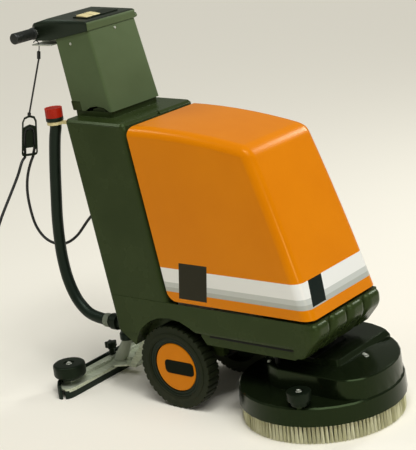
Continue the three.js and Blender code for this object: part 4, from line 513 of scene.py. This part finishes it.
cableHolder = fromSolid("cableHolder", "cable_holder", 1.0, 2, "blackPlastic", "black_plastic")
fromSolid("cableBracket", "cable_bracket", 0.5, 2, "steel", "steel")
fromSolid("holderStrap", "cable_strap", 0.4, 1, "cordRubber", "black_rubber", smooth=60)

gland = {
    "nut": [(0, 4.5), (8, 4.5), (8, -1), (12, -1.4), (12.5, -3), (12.5, -11), (11, -13), (0, -13)],
    "boot": [(-11, 0, 0), (-18, 0, -3.5)], "bootRadius": 7.2,
}


def buildGland():
    start, tip = at(*cable["gland"]), at(*cable["glandTip"])
    nut = addSpun("cableGland", gland["nut"], start, "X", 32)
    line = [start + Vector(step) / 1000 for step in gland["boot"]] + [start.lerp(tip, 0.76), tip]
    boot = addTube("cableBoot", smoothLine(line, 5), gland["bootRadius"], 5)
    finishPiece(joinPieces(nut, boot), "blackPlastic", "machine", "cable_gland")


buildGland()
print("cable laid")


# Hood: a cube sliced and shaped to the leaning sides, its edges rounded, then opened and given a wall

hood = {
    "rearX": 10.7, "frontX": 465, "bottom": 310, "rearTop": 775.5,
    "rearLean": 0.17, "frontLean": 0.363, "bow": 6, "camber": 0.00027,
    "rearHalf": (153.5, 0.01), "frontHalf": (153.5, 0.034),
    "edge": 28, "rearTopRound": 14, "rearBottomRound": 26, "wall": 4, "rearUnder": 60,
    "slices": ((0, 7), (2, 6)),  # axis and number
    "ear": {"x": -52.4, "y": 98, "z": 757.5, "radius": 9, "width": 6, "reach": (0.004, 0, 0.008)},
}

hoodPrint = {  # the printed bands by height, and the two bare dark patches, in mm
    "bands": [
        ((337, 349), tone(176, 180, 172)),
        ((349, 363), tone(198, 202, 196)),
        ((363, 402), tone(236, 237, 232)),
    ],
    "patches": [
        {"x": (46, 139), "y": (-200, -120), "z": (321, 420), "lean": {"X": 0.125}},
        {"x": (380, 600), "y": (-133, -75), "z": (340, 402), "lean": {"Y": 0.27}},
    ],
    "patchTone": tone(0, 24, 26),
}


def printHood():
    tree = finish["hoodOrange"].node_tree
    shader = tree.nodes["Principled BSDF"]
    base = shader.inputs["Base Color"].links[0].from_socket
    place = addNode(tree, "TexCoord")
    apart = addNode(tree, "SeparateXYZ", {"Vector": place.outputs["Object"]})

    def reckon(operation, *terms):
        return addNode(tree, "Math", dict(enumerate(terms)), operation=operation).outputs["Value"]

    def within(axis, low, high, lean=0):  # lean moves the span along with the height above the hood's foot
        foot = lean * hood["bottom"] / 1000
        shifted = reckon("MULTIPLY_ADD", apart.outputs["Z"], -lean, apart.outputs[axis])
        above = reckon("GREATER_THAN", shifted, low - foot)
        return reckon("MULTIPLY", above, reckon("LESS_THAN", shifted, high - foot))

    def between(heights):
        return within("Z", heights[0] / 1000, heights[1] / 1000)

    for heights, colour in hoodPrint["bands"]:
        base = mixTones(tree, between(heights), base, colour)
    for patch in hoodPrint["patches"]:
        mask = between(patch["z"])
        spans = {"X": [at(x, 0, 0).x for x in patch["x"]], "Y": [y / 1000 for y in patch["y"]]}
        for axis, span in spans.items():
            mask = reckon("MULTIPLY", mask, within(axis, *span, patch["lean"].get(axis, 0)))
        base = mixTones(tree, mask, base, hoodPrint["patchTone"])
    tree.links.new(base, shader.inputs["Base Color"])


printHood()


def hoodPlace(u, v, w):
    rise = hood["rearTop"] - hood["bottom"]

    def rear(z):
        return hood["rearX"] - hood["rearLean"] * (z - hood["bottom"])

    def front(z):
        part = (z - hood["bottom"]) / rise
        return hood["frontX"] - hood["frontLean"] * (z - hood["bottom"]) + 4 * hood["bow"] * part * (1 - part)

    z = hood["bottom"] + w * rise
    for _ in range(9):
        x = rear(z) + u * (front(z) - rear(z))
        top = hood["rearTop"] - hood["camber"] * (x - rear(hood["rearTop"])) ** 2
        z = hood["bottom"] + w * (top - hood["bottom"])
    rearHalf = hood["rearHalf"][0] - hood["rearHalf"][1] * (z - hood["bottom"])
    frontHalf = hood["frontHalf"][0] - hood["frontHalf"][1] * (z - hood["bottom"])
    return at(x, v * (rearHalf + u * (frontHalf - rearHalf)), z)


def buildHood():
    piece = addBlock("hoodShell", Vector((0, -1, 0)), Vector((1, 1, 1)))
    bpy.ops.object.mode_set(mode="EDIT")
    for axis, count in hood["slices"]:
        for k in range(1, count):
            place, normal = [0.5, 0, 0.5], [0, 0, 0]
            place[axis] = k / count
            normal[axis] = 1
            bpy.ops.mesh.select_all(action="SELECT")
            bpy.ops.mesh.bisect(plane_co=place, plane_no=normal)
    bpy.ops.object.mode_set(mode="OBJECT")
    for vertex in piece.data.vertices:
        u, v, w = vertex.co
        vertex.co = (round(u, 6), round(v, 6), round(w, 6))
    mesh = piece.data

    def onLine(a, b, tests):
        return all(abs(p[i] - value) < 1e-4 for p in (a, b) for i, value in tests)

    # how far each edge is rounded is set while the cube is still square
    weights = mesh.attributes.new("bevel_weight_edge", "FLOAT", "EDGE")
    for edge in mesh.edges:
        a, b = (mesh.vertices[i].co for i in edge.vertices)
        weight = 0.0
        for v in (-1, 1):
            if onLine(a, b, ((1, v), (2, 1))) or onLine(a, b, ((1, v), (0, 1))):
                weight = 1.0
        if onLine(a, b, ((0, 1), (2, 1))):
            weight = 1.0
        if onLine(a, b, ((0, 0), (2, 1))):
            weight = hood["rearTopRound"] / hood["edge"]
        if onLine(a, b, ((0, 0), (2, 0))):
            weight = hood["rearBottomRound"] / hood["edge"]
        weights.data[edge.index].value = weight
    for vertex in mesh.vertices:
        vertex.co = hoodPlace(*vertex.co)
    activate(piece)
    edges = piece.modifiers.new("edges", "BEVEL")
    edges.width = hood["edge"] / 1000
    edges.segments = 7
    edges.limit_method = "WEIGHT"
    edges.use_clamp_overlap = True
    bpy.ops.object.modifier_apply(modifier="edges")
    low = at(0, 0, hood["bottom"]).z

    def opened(centre, normal):  # the rear, the round under it, and the bottom
        rearward = normal.x < -0.5 and centre.z < at(0, 0, hood["rearTop"] - 3).z
        under = normal.z < -0.35 and centre.x < at(hood["rearUnder"], 0, 0).x
        return rearward or under or (abs(centre.z - low) < 0.0005 and normal.z < -0.9)

    pick(piece, "FACE", opened)
    bpy.ops.mesh.delete(type="FACE")
    bpy.ops.object.mode_set(mode="OBJECT")
    wall = piece.modifiers.new("wall", "SOLIDIFY")
    wall.thickness = hood["wall"] / 1000
    wall.offset = -1
    wall.use_even_offset = True
    bpy.ops.object.modifier_apply(modifier="wall")
    shape, ears = hood["ear"], []
    for side in (-1, 1):
        middle = at(shape["x"], side * shape["y"], shape["z"])
        ear = addRod("ear", middle, shape["radius"], shape["width"], "Y", 40)
        pick(ear, "FACE", lambda centre, normal: normal.z > 0.7)
        bpy.ops.mesh.extrude_region_move(TRANSFORM_OT_translate={"value": shape["reach"]})
        bpy.ops.object.mode_set(mode="OBJECT")
        ears.append(ear)
    joinPieces(piece, *ears)
    finishPiece(piece, "hoodOrange", "hood", "hood", 35)


buildHood()
print("hood built")


# Body, lid, console and head from the CAD solids, with their edges broken

moulded = {  # node, width and segments of the rounding in mm, finish, slot
    "baseBody": ("base_tank", 2.2, 3, "darkPlastic", "dark_plastic"),
    "tankLid": ("tank_lid", 1.6, 3, "darkPlastic", "dark_plastic"),
    "deckShell": ("deck_cover", 3.6, 4, "deckPlastic", "dark_plastic"),
    "consoleShell": ("console_shell", 1.6, 3, "consolePlastic", "dark_plastic"),
    "consoleFoot": ("console_foot", 1.2, 2, "darkPlastic", "black_plastic"),
    "controlHead": ("control_head", 1.8, 3, "headPlastic", "dark_plastic"),
    "switchBezel": ("switch_bezel", 0.6, 2, "blackPlastic", "black_plastic"),
    "hoseHook": ("hose_hook", 0.8, 2, "creamPlastic", "cream_plastic"),
    "drainOutlet": ("drain_outlet", 0.8, 2, "blackPlastic", "black_plastic"),
    "hoseClamp": ("hose_clamp", 0.4, 2, "greyPlastic", "steel"),
    # black paint on the frame, kept this dark also to paint the shade under the body
    "underFrame": ("chassis_frame", 0.6, 1, "blackPaintAndShade", "steel"),
    "waterTank": ("clean_water_tank", 2.0, 3, "milkyTank", "clear_plastic"),
    "suctionCase": ("suction_motor", 1.5, 2, "blackPlastic", "black_plastic"),
    "motorCase": ("brush_motor", 1.0, 2, "steel", "steel"),
}
lobe = {
    "count": 4, "step": 78, "half": 36.2, "x": (403, 477.5), "z": (207.8, 301.5),
    "heel": 430.6, "chin": 265, "face": 462.4, "corner": 22, "brow": 17, "jaw": 9,
}


def cutAway(piece, spot, facing):
    editAll(piece)
    bpy.ops.mesh.bisect(plane_co=spot, plane_no=facing, clear_outer=True, use_fill=True)
    bpy.ops.object.mode_set(mode="OBJECT")


def buildMoulded():
    for name, (node, width, segments, look, slot) in moulded.items():
        piece = copyNode(name, node)
        if name == "baseBody":  # its lobes make way for the pillowed ones
            cutAway(piece, at(lobe["face"], 0, 250), (1, 0, 0))
        roundEdges(piece, width, segments)
        finishPiece(piece, look, "machine", node)
        if name == "controlHead":  # its front is as pale as the console
            piece.data.materials.append(finish["consolePlastic"])
            for face in piece.data.polygons:
                if face.normal.x > 0.75:
                    face.material_index = 1


rockerTop = {"above": 1.04, "lift": 0.0025}  # m; the keys stand a little proud of their bezel


def buildRocker(name, node, body):
    rocker = copyNode(name, node)
    pick(rocker, "VERT", lambda place: place.z > rockerTop["above"])
    bpy.ops.transform.translate(value=(0, 0, rockerTop["lift"]))
    bpy.ops.object.mode_set(mode="OBJECT")
    finishPiece(roundEdges(rocker, 1.0, 3), "creamPlastic", body, node)


buildMoulded()
buildRocker("brushRocker", "rocker_brush", "switch_brush")
buildRocker("suctionRocker", "rocker_suction", "switch_suction")
print("body and console built")


# Front bumper: four pillowed lobes, each a cut and rounded block, and a thin black strip under the tray that
# paints the shade of a groove

# painted shade: a near-black strip just proud of the pan, where the tray's groove would lie in shadow; no
# groove is cut
trayJoint = {"x": (128, 404), "y": (141, 144.3), "z": (219, 224.4)}


def buildLobes():
    lobes = []
    heel, nose = at(lobe["heel"], 0, lobe["z"][0]), at(lobe["x"][1], 0, lobe["chin"])
    slope = Vector((nose.z - heel.z, 0, heel.x - nose.x)).normalized()
    for k in range(lobe["count"]):
        middle = (k - (lobe["count"] - 1) / 2) * lobe["step"]
        low = at(lobe["x"][0], middle - lobe["half"], lobe["z"][0])
        high = at(lobe["x"][1], middle + lobe["half"], lobe["z"][1])
        block = addBlock("bumperLobes", low, high)
        pick(block, "EDGE", lambda a, b: min(a.x, b.x) > high.x - 0.0001 and abs(a.z - b.z) > 0.01)
        bpy.ops.mesh.bevel(offset=lobe["corner"] / 1000, segments=8)
        cutAway(block, heel, slope)
        pick(block, "EDGE", lambda a, b: min(a.z, b.z) > high.z - 0.0001 and max(a.x, b.x) > low.x + 0.001)
        bpy.ops.mesh.bevel(offset=lobe["brow"] / 1000, segments=6)
        pick(block, "EDGE", lambda a, b: all(abs((p - heel).dot(slope)) < 0.0001 for p in (a, b))
             and max(a.x, b.x) > heel.x + 0.001)
        bpy.ops.mesh.bevel(offset=lobe["jaw"] / 1000, segments=4)
        bpy.ops.object.mode_set(mode="OBJECT")
        lobes.append(block)
    finishPiece(joinPieces(*lobes), "darkPlastic", "machine")


# lays the painted shade strip along both sides of the tray
def buildTrayShadeLine():
    (rear, front), (low, high) = trayJoint["x"], trayJoint["z"]
    strips = []
    for side in (-1, 1):
        right, left = sorted(side * y for y in trayJoint["y"])
        strip = addBlock("trayJoint", at(rear, right, low), at(front, left, high))
        strips.append(roundEdges(strip, 0.25, 1))
    finishPiece(joinPieces(*strips), "blackPaintAndShade", "machine")


buildLobes()
buildTrayShadeLine()
print("bumper built")


# Wheels

wheel = {  # the spun parts are pairs of radius and height outwards of the wheel's face, in mm
    "radius": 117, "face": 154,
    "ring": [(88, -1), (88, 0.8), (90, 1.6), (97, 1.6), (99, 0.8), (99, -1)],
    "rim": [(10.4, -41), (24, -41), (26, -16), (84.7, -16), (84.7, -3.2), (84, -2.5), (78, -2.5), (76, -4),
            (70, -4), (69.2, -9), (10.4, -9)],
    "cap": [(0, -8.7), (67.8, -8.7), (67.9, -6.3), (67, -5.2), (65.5, -4.7), (63, -4.4), (0, -3.6)],
    "plate": {"x": (-36, 62), "half": 19, "out": (-2.7, -5.1), "corner": 12},
}


def buildWheel(label, side):
    body, title = f"wheel_{label}", label.title()
    centre = at(0, side * wheel["face"], wheel["radius"])

    def spun(name, part, steps):
        return addSpun(name, [(r, side * h) for r, h in wheel[part]], centre, "Y", steps)

    tyre = roundEdges(copyNode(f"tyre{title}", f"tyre_{label}"), 1.6, 2, 25)
    joinPieces(tyre, spun("ring", "ring", 96))
    finishPiece(tyre, "tyreRubber", body, f"tyre_{label}", 35)
    rim = spun(f"rim{title}", "rim", 72)
    finishPiece(rim, "blackPlastic", body, f"rim_{label}", 35)
    cap = spun(f"hubCap{title}", "cap", 96)
    finishPiece(cap, "hubOrange", body, f"hub_cap_{label}", 35)
    shape = wheel["plate"]
    low, high = sorted(side * (wheel["face"] + out) for out in shape["out"])
    bottom, top = wheel["radius"] - shape["half"], wheel["radius"] + shape["half"]
    plate = addBlock(f"hubPlate{title}", at(shape["x"][0], low, bottom), at(shape["x"][1], high, top))
    pick(plate, "EDGE", lambda a, b: abs(a.y - b.y) > 0.0005)
    bpy.ops.mesh.bevel(offset=shape["corner"] / 1000, segments=8)
    bpy.ops.object.mode_set(mode="OBJECT")
    roundEdges(plate, 0.3, 1, 50)
    finishPiece(plate, "printDark", body)


buildWheel("right", -1)
buildWheel("left", 1)
print("wheels built")


# Brush: three rings of tufts under their backing, each a bundle of fine strands that spreads a little

bristles = {
    "x": 367.7, "radius": 214, "height": 50, "inset": 5.5, "tufts": (120, 96, 72), "step": 13,
    "strands": 18, "strand": (0.66, 0.73333), "bundle": 3.0, "spread": 1.75, "uneven": 1.2, "beat": 5.1,
    "twist": 2.4, "lift": 0.6,
    "backing": [(0, 50), (213, 50), (214, 51), (214, 55), (213, 56), (0, 56)],
}
goldenTurn = 2.39996


def makeTuft():  # points and faces of one bundle, its strands a little wider apart at the foot
    height = bristles["height"] / 1000
    middle = (0, 0, height / 2 + bristles["lift"] / 1000)
    thin, thick = (r / 1000 for r in bristles["strand"])
    strands = []
    for k in range(bristles["strands"]):
        reach = bristles["bundle"] * math.sqrt(k / bristles["strands"])
        angle = k * goldenTurn
        top = Vector((math.cos(angle), math.sin(angle), 0)) * (reach / 1000)
        foot = top * bristles["spread"]
        deselect()
        bpy.ops.mesh.primitive_cone_add(
            vertices=3,
            radius1=thin,
            radius2=thick,
            depth=height,
            location=middle,
        )
        strand = settle("strand")
        lift = Vector((0, 0, bristles["uneven"] / 1000 * math.sin(k * bristles["beat"])))
        for vertex in strand.data.vertices:
            part = vertex.co.z / height
            vertex.co += foot.lerp(top, part) + lift * (1 - part)
        strands.append(strand)
    tuft = joinPieces(*strands)
    points = [v.co.copy() for v in tuft.data.vertices]
    faces = [tuple(p.vertices) for p in tuft.data.polygons]
    bpy.data.objects.remove(tuft)
    return points, faces


def buildBristles():
    centre = at(bristles["x"], 0, 0)
    backing = addSpun("brushBristles", bristles["backing"], centre, "Z", 96)
    base, shape = makeTuft()
    points, faces = [], []
    for ring, count in enumerate(bristles["tufts"]):
        radius = bristles["radius"] - bristles["inset"] - ring * bristles["step"]
        for k in range(count):
            angle = 2 * math.pi * (k + 0.5 * (ring % 2)) / count
            swing = Matrix.Rotation(angle + k * bristles["twist"], 3, "Z")
            spot = Vector((math.cos(angle), math.sin(angle), 0)) * (radius / 1000) + centre
            start = len(points)
            points.extend(swing @ v + spot for v in base)
            faces.extend(tuple(i + start for i in face) for face in shape)
    joinPieces(backing, addMesh("tufts", points, (), faces))
    finishPiece(backing, "bristleNylon", "brush", "brush_bristles", 30, False)
    fromSolid("brushBlock", "brush_block", 1.5, 2, "blackPlastic", "black_plastic", "brush")


buildBristles()
print("brush built")


# Rollers and screws

def addScrew(name, spot, radius, height, body, facing=(0, 0, 1)):  # a washer under a head with a recess
    head = addRod(name, Vector((0, 0, height / 2000)), radius, height, "Z", 32)
    pick(head, "FACE", lambda middle, normal: normal.z > 0.9)
    bpy.ops.mesh.inset(thickness=radius / 3500)
    bpy.ops.mesh.inset(thickness=radius / 6000, depth=-height / 3500)
    bpy.ops.object.mode_set(mode="OBJECT")
    roundEdges(head, height / 4, 2, 40)
    washer = roundEdges(addRod("washer", Vector((0, 0, 0.0003)), radius * 1.45, 1.4, "Z", 32), 0.3, 1, 40)
    joinPieces(head, washer)
    turn = Vector((0, 0, 1)).rotation_difference(Vector(facing)).to_matrix().to_4x4()
    head.data.transform(Matrix.Translation(spot) @ turn)
    finishPiece(head, "steel", body)


rollers = {  # profiles of radius and height in mm, and the screw in the top
    "front": [(6.6, 0), (22.5, 0), (23.5, 1), (23.5, 12), (28, 12), (30.5, 13), (31.5, 15.5), (31.5, 33.5),
              (30.5, 36), (28, 37), (13, 37), (12, 34), (6.6, 34)],
    "rear": [(6.6, 0), (32, 0), (40, 4), (44.5, 9), (46, 13), (46, 36), (45, 40), (42, 42.4), (38, 43),
             (16, 43), (14.5, 40), (6.6, 40)],
    "rearPlace": (-371, 185, 42), "screwHeight": 4.5, "screwSunk": 3.5,
}


def buildRoller(name, node, body, place, profile, screwRadius):
    piece = addSpun(name, rollers[profile], at(*place), "Z", 72)
    finishPiece(piece, "blackPlastic", body, node, 35)
    x, y, low = place
    seat = low + max(h for r, h in rollers[profile]) - rollers["screwSunk"]
    addScrew(f"{name}Screw", at(x, y, seat), screwRadius, rollers["screwHeight"], body)


def buildRearRoller(label, side):
    x, y, low = rollers["rearPlace"]
    name, node = f"squeegeeRoller{label.title()}", f"squeegee_roller_{label}"
    buildRoller(name, node, f"roller_{label}", (x, side * y, low), "rear", 5.8)


buildRoller("deckRoller", "deck_roller", "roller_front", (433.7, -191, 105), "front", 5.2)
buildRearRoller("right", -1)
buildRearRoller("left", 1)
print("rollers built")


# Squeegee

squeegeeParts = {  # node, width and segments of the rounding in mm, finish, slot, body
    "squeegeePlate": ("squeegee_plate", 0.9, 2, "zincPlate", "zinc", "squeegee"),
    "frontLip": ("front_lip", 0.6, 1, "softRubber", "black_rubber", "squeegee"),
    "rearLip": ("rear_lip", 0.6, 1, "softRubber", "black_rubber", "squeegee"),
    "squeegeeNozzle": ("squeegee_nozzle", 1.2, 2, "nozzlePlastic", "grey_plastic", "squeegee"),
    "squeegeeArm": ("squeegee_arm", 0.8, 2, "zincPlate", "zinc", "arm"),
}
for name, row in squeegeeParts.items():
    fromSolid(name, *row)


clamp = {  # the strip that holds the front lip: places along half of the plate's front edge, in mm
    "edge": [(-347.8, -235), (-339.8, -228), (-336.8, -212), (-336.8, -56)],
    "face": (5.6, 7.4), "low": 19.5, "seat": 23.9, "top": 28.9,
}


def ribbon(name, line, inner, outer, low, high):  # a strip beside a line, in mm, extruded up from low to high
    sides = [[], []]
    for i, (x, y) in enumerate(line):
        before, after = line[max(i - 1, 0)], line[min(i + 1, len(line) - 1)]
        along = Vector((after[0] - before[0], after[1] - before[1])).normalized()
        for side, distance in zip(sides, (inner, outer)):
            side.append(at(x + distance * along.y, y - distance * along.x, low))
    count = len(line)
    faces = [(i, i + 1, count + i + 1, count + i) for i in range(count - 1)]
    piece = addMesh(name, sides[0] + sides[1], (), faces)
    editAll(piece)
    bpy.ops.mesh.extrude_region_move(TRANSFORM_OT_translate={"value": (0, 0, (high - low) / 1000)})
    return mend(piece)


def buildLipClamp():
    right = clamp["edge"]
    left = [(x, -y) for x, y in reversed(right)]
    strips = [ribbon("lipClamp", right + left, *clamp["face"], clamp["low"], clamp["seat"])]
    for half in (right, left):
        strips.append(ribbon("clampTop", half, 0.1, clamp["face"][1], clamp["seat"], clamp["top"]))
    finishPiece(roundEdges(joinPieces(*strips), 0.35), "zincPlate", "squeegee")


buildLipClamp()

starKnob = {
    "x": -378.5, "low": 38, "neck": [(4.4, 3), (11.5, 3), (11.5, 5), (8.5, 7), (8, 20), (9, 22), (4.4, 22)],
    "crown": {"rise": 31, "depth": 19, "radius": 14.9, "wave": 3.3, "count": 5},
}


def buildStarKnob():
    x, low, shape = starKnob["x"], starKnob["low"], starKnob["crown"]
    neck = addSpun("starKnob", starKnob["neck"], at(x, 0, low), "Z", 40)
    middle = at(x, 0, low + shape["rise"])
    crown = addRod("crown", middle, 1, shape["depth"], "Z", 80)
    for vertex in crown.data.vertices:
        away = vertex.co - middle
        angle = math.atan2(away.y, away.x)
        reach = (shape["radius"] + shape["wave"] * math.cos(shape["count"] * angle)) / 1000
        vertex.co.x = middle.x + reach * math.cos(angle)
        vertex.co.y = middle.y + reach * math.sin(angle)
    roundEdges(crown, 3, 4, 60)
    finishPiece(joinPieces(neck, crown), "blackPlastic", "knob", "star_knob", 50)


buildStarKnob()

suction = {
    "line": [(-309, 0, 104), (-308, 0, 120), (-291, 0, 138), (-259, 0, 146), (-225, 0, 144)], "radius": 17.6,
    "stubMiddle": (-164.1, 0, 182), "stubAxis": (0.5534, 0, 0.8329), "onStub": (-42, -28), "cuffOnStub": -13,
    "low": (-309, 0, 101),
    "lowCuff": [(14.9, -3), (20, -3), (20.5, -1), (20.5, 15), (19.5, 17), (14.9, 17)],
    "highCuff": [(22.3, 0), (26, 0), (27, 1.5), (27, 17), (26, 19), (17, 19), (17, 15), (22.3, 15)],
}


def buildSuctionHose():
    axis = Vector(suction["stubAxis"])

    def stub(distance):
        return at(*suction["stubMiddle"]) + axis * (distance / 1000)

    line = smoothLine([at(*p) for p in suction["line"]] + [stub(d) for d in suction["onStub"]], 8)
    hose = addTube("suctionHose", line, suction["radius"], 7)
    low = addSpun("lowCuff", suction["lowCuff"], at(*suction["low"]), "Z", 48)
    high = addSpun("highCuff", suction["highCuff"], Vector((0, 0, 0)), "Z", 48)
    turn = Vector((0, 0, 1)).rotation_difference(-axis).to_matrix().to_4x4()
    high.data.transform(Matrix.Translation(stub(suction["cuffOnStub"])) @ turn)
    joinPieces(hose, low, high)
    finishPiece(hose, "softRubber", "arm", "suction_hose", 50, False)


buildSuctionHose()
print("squeegee built")


# Drain hose with its screw cap

drain = {
    "radius": 16, "y": -121, "top": (-346, 778), "capRadius": 23, "capHeight": 26, "capLift": 6.3,
    "rib": 0.0009, "rim": 0.003, "dish": (0.001, -0.0012),  # in m
    "line": [(-237.2, 207), (-267.2, 207.5), (-322, 218), (-354, 243), (-373, 271), (-389, 314), (-397, 363),
             (-399, 412), (-395, 486), (-385, 560), (-370, 656), (-355, 728), (-346, 758), (-346, 778)],
    "collar": [(11, -4), (23, -4), (24, -3), (24, 5), (23, 6), (17, 6), (17, 18), (11, 18)],
}


def ribbed(middle, normal):  # two of every three sides of the cap stand out as a rib
    side = int(math.degrees(math.atan2(normal.y, normal.x)) / 6 + 90)
    return abs(normal.z) < 0.3 and side % 3 != 0


def buildDrain():
    y, (x, z), height = drain["y"], drain["top"], drain["capHeight"]
    line = smoothLine([at(px, y, pz) for px, pz in drain["line"]], 8)
    hose = addTube("drainHose", line, drain["radius"], 7)
    joinPieces(hose, addSpun("collar", drain["collar"], at(x, y, z), "Z", 56))
    finishPiece(hose, "softRubber", "machine", "drain_hose", 50, False)
    cap = addRod("drainCap", at(x, y, z + drain["capLift"] + height / 2), drain["capRadius"], height, "Z", 60)
    pick(cap, "FACE", ribbed)
    bpy.ops.mesh.extrude_region_shrink_fatten(TRANSFORM_OT_shrink_fatten={"value": drain["rib"]})
    pick(cap, "FACE", lambda middle, normal: normal.z > 0.9)
    bpy.ops.mesh.inset(thickness=drain["rim"])
    bpy.ops.mesh.inset(thickness=drain["dish"][0], depth=drain["dish"][1])
    bpy.ops.object.mode_set(mode="OBJECT")
    roundEdges(cap, 0.5, 2, 50)
    finishPiece(cap, "redPlastic", "drain", "drain_cap", 45)


buildDrain()
print("drain hose built")


# Handle

handle = {
    "x": -398, "z": 1008, "radius": 12.5, "bore": 10.5, "half": 174, "gripLength": 76, "past": 4, "rib": 5.6,
}


def gripProfile():  # a flange, ribs up to near the end, and the closed end
    half = handle["half"]
    inner, end = half - handle["gripLength"] + handle["past"], half + handle["past"]
    profile = [(12.8, inner), (15.5, inner), (16.5, inner + 1), (16.5, inner + 3.5), (15.5, inner + 4.5),
               (14, inner + 6)]
    spot = inner + 8
    while spot < end - 16:
        profile += [(13.9, spot), (15, spot + 0.8), (15, spot + 3.4), (13.9, spot + 4.2)]
        spot += handle["rib"]
    profile += [(14.2, end - 12), (15.2, end - 10.5), (15.2, end - 3), (13.5, end - 0.6), (10, end), (0, end)]
    return profile + [(0, half + 0.3), (12.8, half + 0.3)]


def buildHandle():
    centre = at(handle["x"], 0, handle["z"])
    half, bore, radius = handle["half"], handle["bore"], handle["radius"]
    wall = [(bore, -half), (radius, -half), (radius, half), (bore, half)]
    tube = addSpun("handleTube", wall, centre, "Y", 48)
    finishPiece(tube, "steel", "machine", "handle_tube", 35)
    for label, side in (("right", -1), ("left", 1)):
        grip = addSpun(f"grip{label.title()}", [(r, side * h) for r, h in gripProfile()], centre, "Y", 48)
        finishPiece(grip, "gripRubber", "machine", f"grip_{label}", 35)


buildHandle()
print("handle built")


# Small fastenings

screws = {  # piece, start and way of the line that meets its face, radius and height in mm
    "deckScrewRear": ("deckShell", (271, -87, 300), (0, 0, -1), 4.5, 4),
    "deckScrewFront": ("deckShell", (500, 21, 300), (0, 0, -1), 4.5, 4),
    "deckScrewInner": ("deckShell", (489, 27, 300), (0, 0, -1), 3.5, 3),
    "headScrew": ("consoleShell", (100, 8, 1005), (-1, 0, 0), 2.6, 2),
    "consoleScrew": ("consoleShell", (-271, -300, 980), (0, 1, 0), 2.6, 2),
}
for name, (piece, start, along, radius, height) in screws.items():
    found, spot, facing, _ = bpy.data.objects[piece].ray_cast(at(*start), Vector(along))
    if found:
        addScrew(name, spot, radius, height, "machine", facing)


# Setting: a pale floor, a backdrop near to its tone, a wide sun, soft lamps and an even level of light

setting = {
    "floor": {"Base Color": tone(247, 243, 229), "Roughness": 0.85, "Specular IOR Level": 0.1},
    "shown": {"Color": tone(243, 238, 221)},
    "sky": {"toward": (0.4, -0.18, 1.0), "strength": 1.9, "softness": 45},
    "lamps": [  # name, place in m, size in m, watts
        ("edge", (-1.7, -0.8, 2.7), 0.6, 7),
        ("far", (0.9, 2.7, 2.2), 0.8, 26),
        ("top", (0.62, -0.7, 2.9), 0.5, 14),
        ("corner", (3.0, -1.1, 1.15), 0.3, 8),
    ],
    "aim": (0, 0, 0.5),
    "level": {"Color": tone(246, 244, 236), "Strength": 0.17},
    "mirrored": {"Color": tone(240, 244, 228), "Strength": 0.25},
}


def addLamp(name, kind, power, shines):
    light = bpy.data.lights.new(name, kind)
    light.energy = power
    lamp = addObject(name, light)
    lamp.rotation_euler = shines.to_track_quat("-Z", "Y").to_euler()
    return lamp


def buildFloor():
    deselect()
    bpy.ops.mesh.primitive_plane_add(size=80, location=(0, 0, 0))
    floor = settle("floor")
    material = bpy.data.materials.new("floorPaper")
    material.use_nodes = True
    tree = material.node_tree
    setInputs(tree, tree.nodes["Principled BSDF"], setting["floor"])
    floor.data.materials.append(material)


def buildLight():
    sky = setting["sky"]
    sun = addLamp("sky", "SUN", sky["strength"], -Vector(sky["toward"]))
    sun.data.angle = math.radians(sky["softness"])
    for name, place, size, power in setting["lamps"]:
        lamp = addLamp(name, "AREA", power, Vector(setting["aim"]) - Vector(place))
        lamp.location = place
        lamp.data.shape = "DISK"
        lamp.data.size = size


def buildWorld():  # what lights the machine, what its faces mirror, and what the camera sees
    world = bpy.data.worlds.new("studio")
    bpy.context.scene.world = world
    world.use_nodes = True
    tree = world.node_tree
    level = tree.nodes["Background"]
    setInputs(tree, level, setting["level"])
    mirrored = addNode(tree, "Background", setting["mirrored"])
    shown = addNode(tree, "Background", setting["shown"])
    ray = addNode(tree, "LightPath")
    glossy = addNode(tree, "MixShader", {
        "Fac": ray.outputs["Is Glossy Ray"],
        1: level.outputs["Background"],
        2: mirrored.outputs["Background"],
    })
    seen = addNode(tree, "MixShader", {
        "Fac": ray.outputs["Is Camera Ray"],
        1: glossy.outputs["Shader"],
        2: shown.outputs["Background"],
    })
    tree.links.new(seen.outputs["Shader"], tree.nodes["World Output"].inputs["Surface"])
    bpy.context.scene.view_settings.view_transform = "Standard"


buildFloor()
buildLight()
buildWorld()
print("setting built")
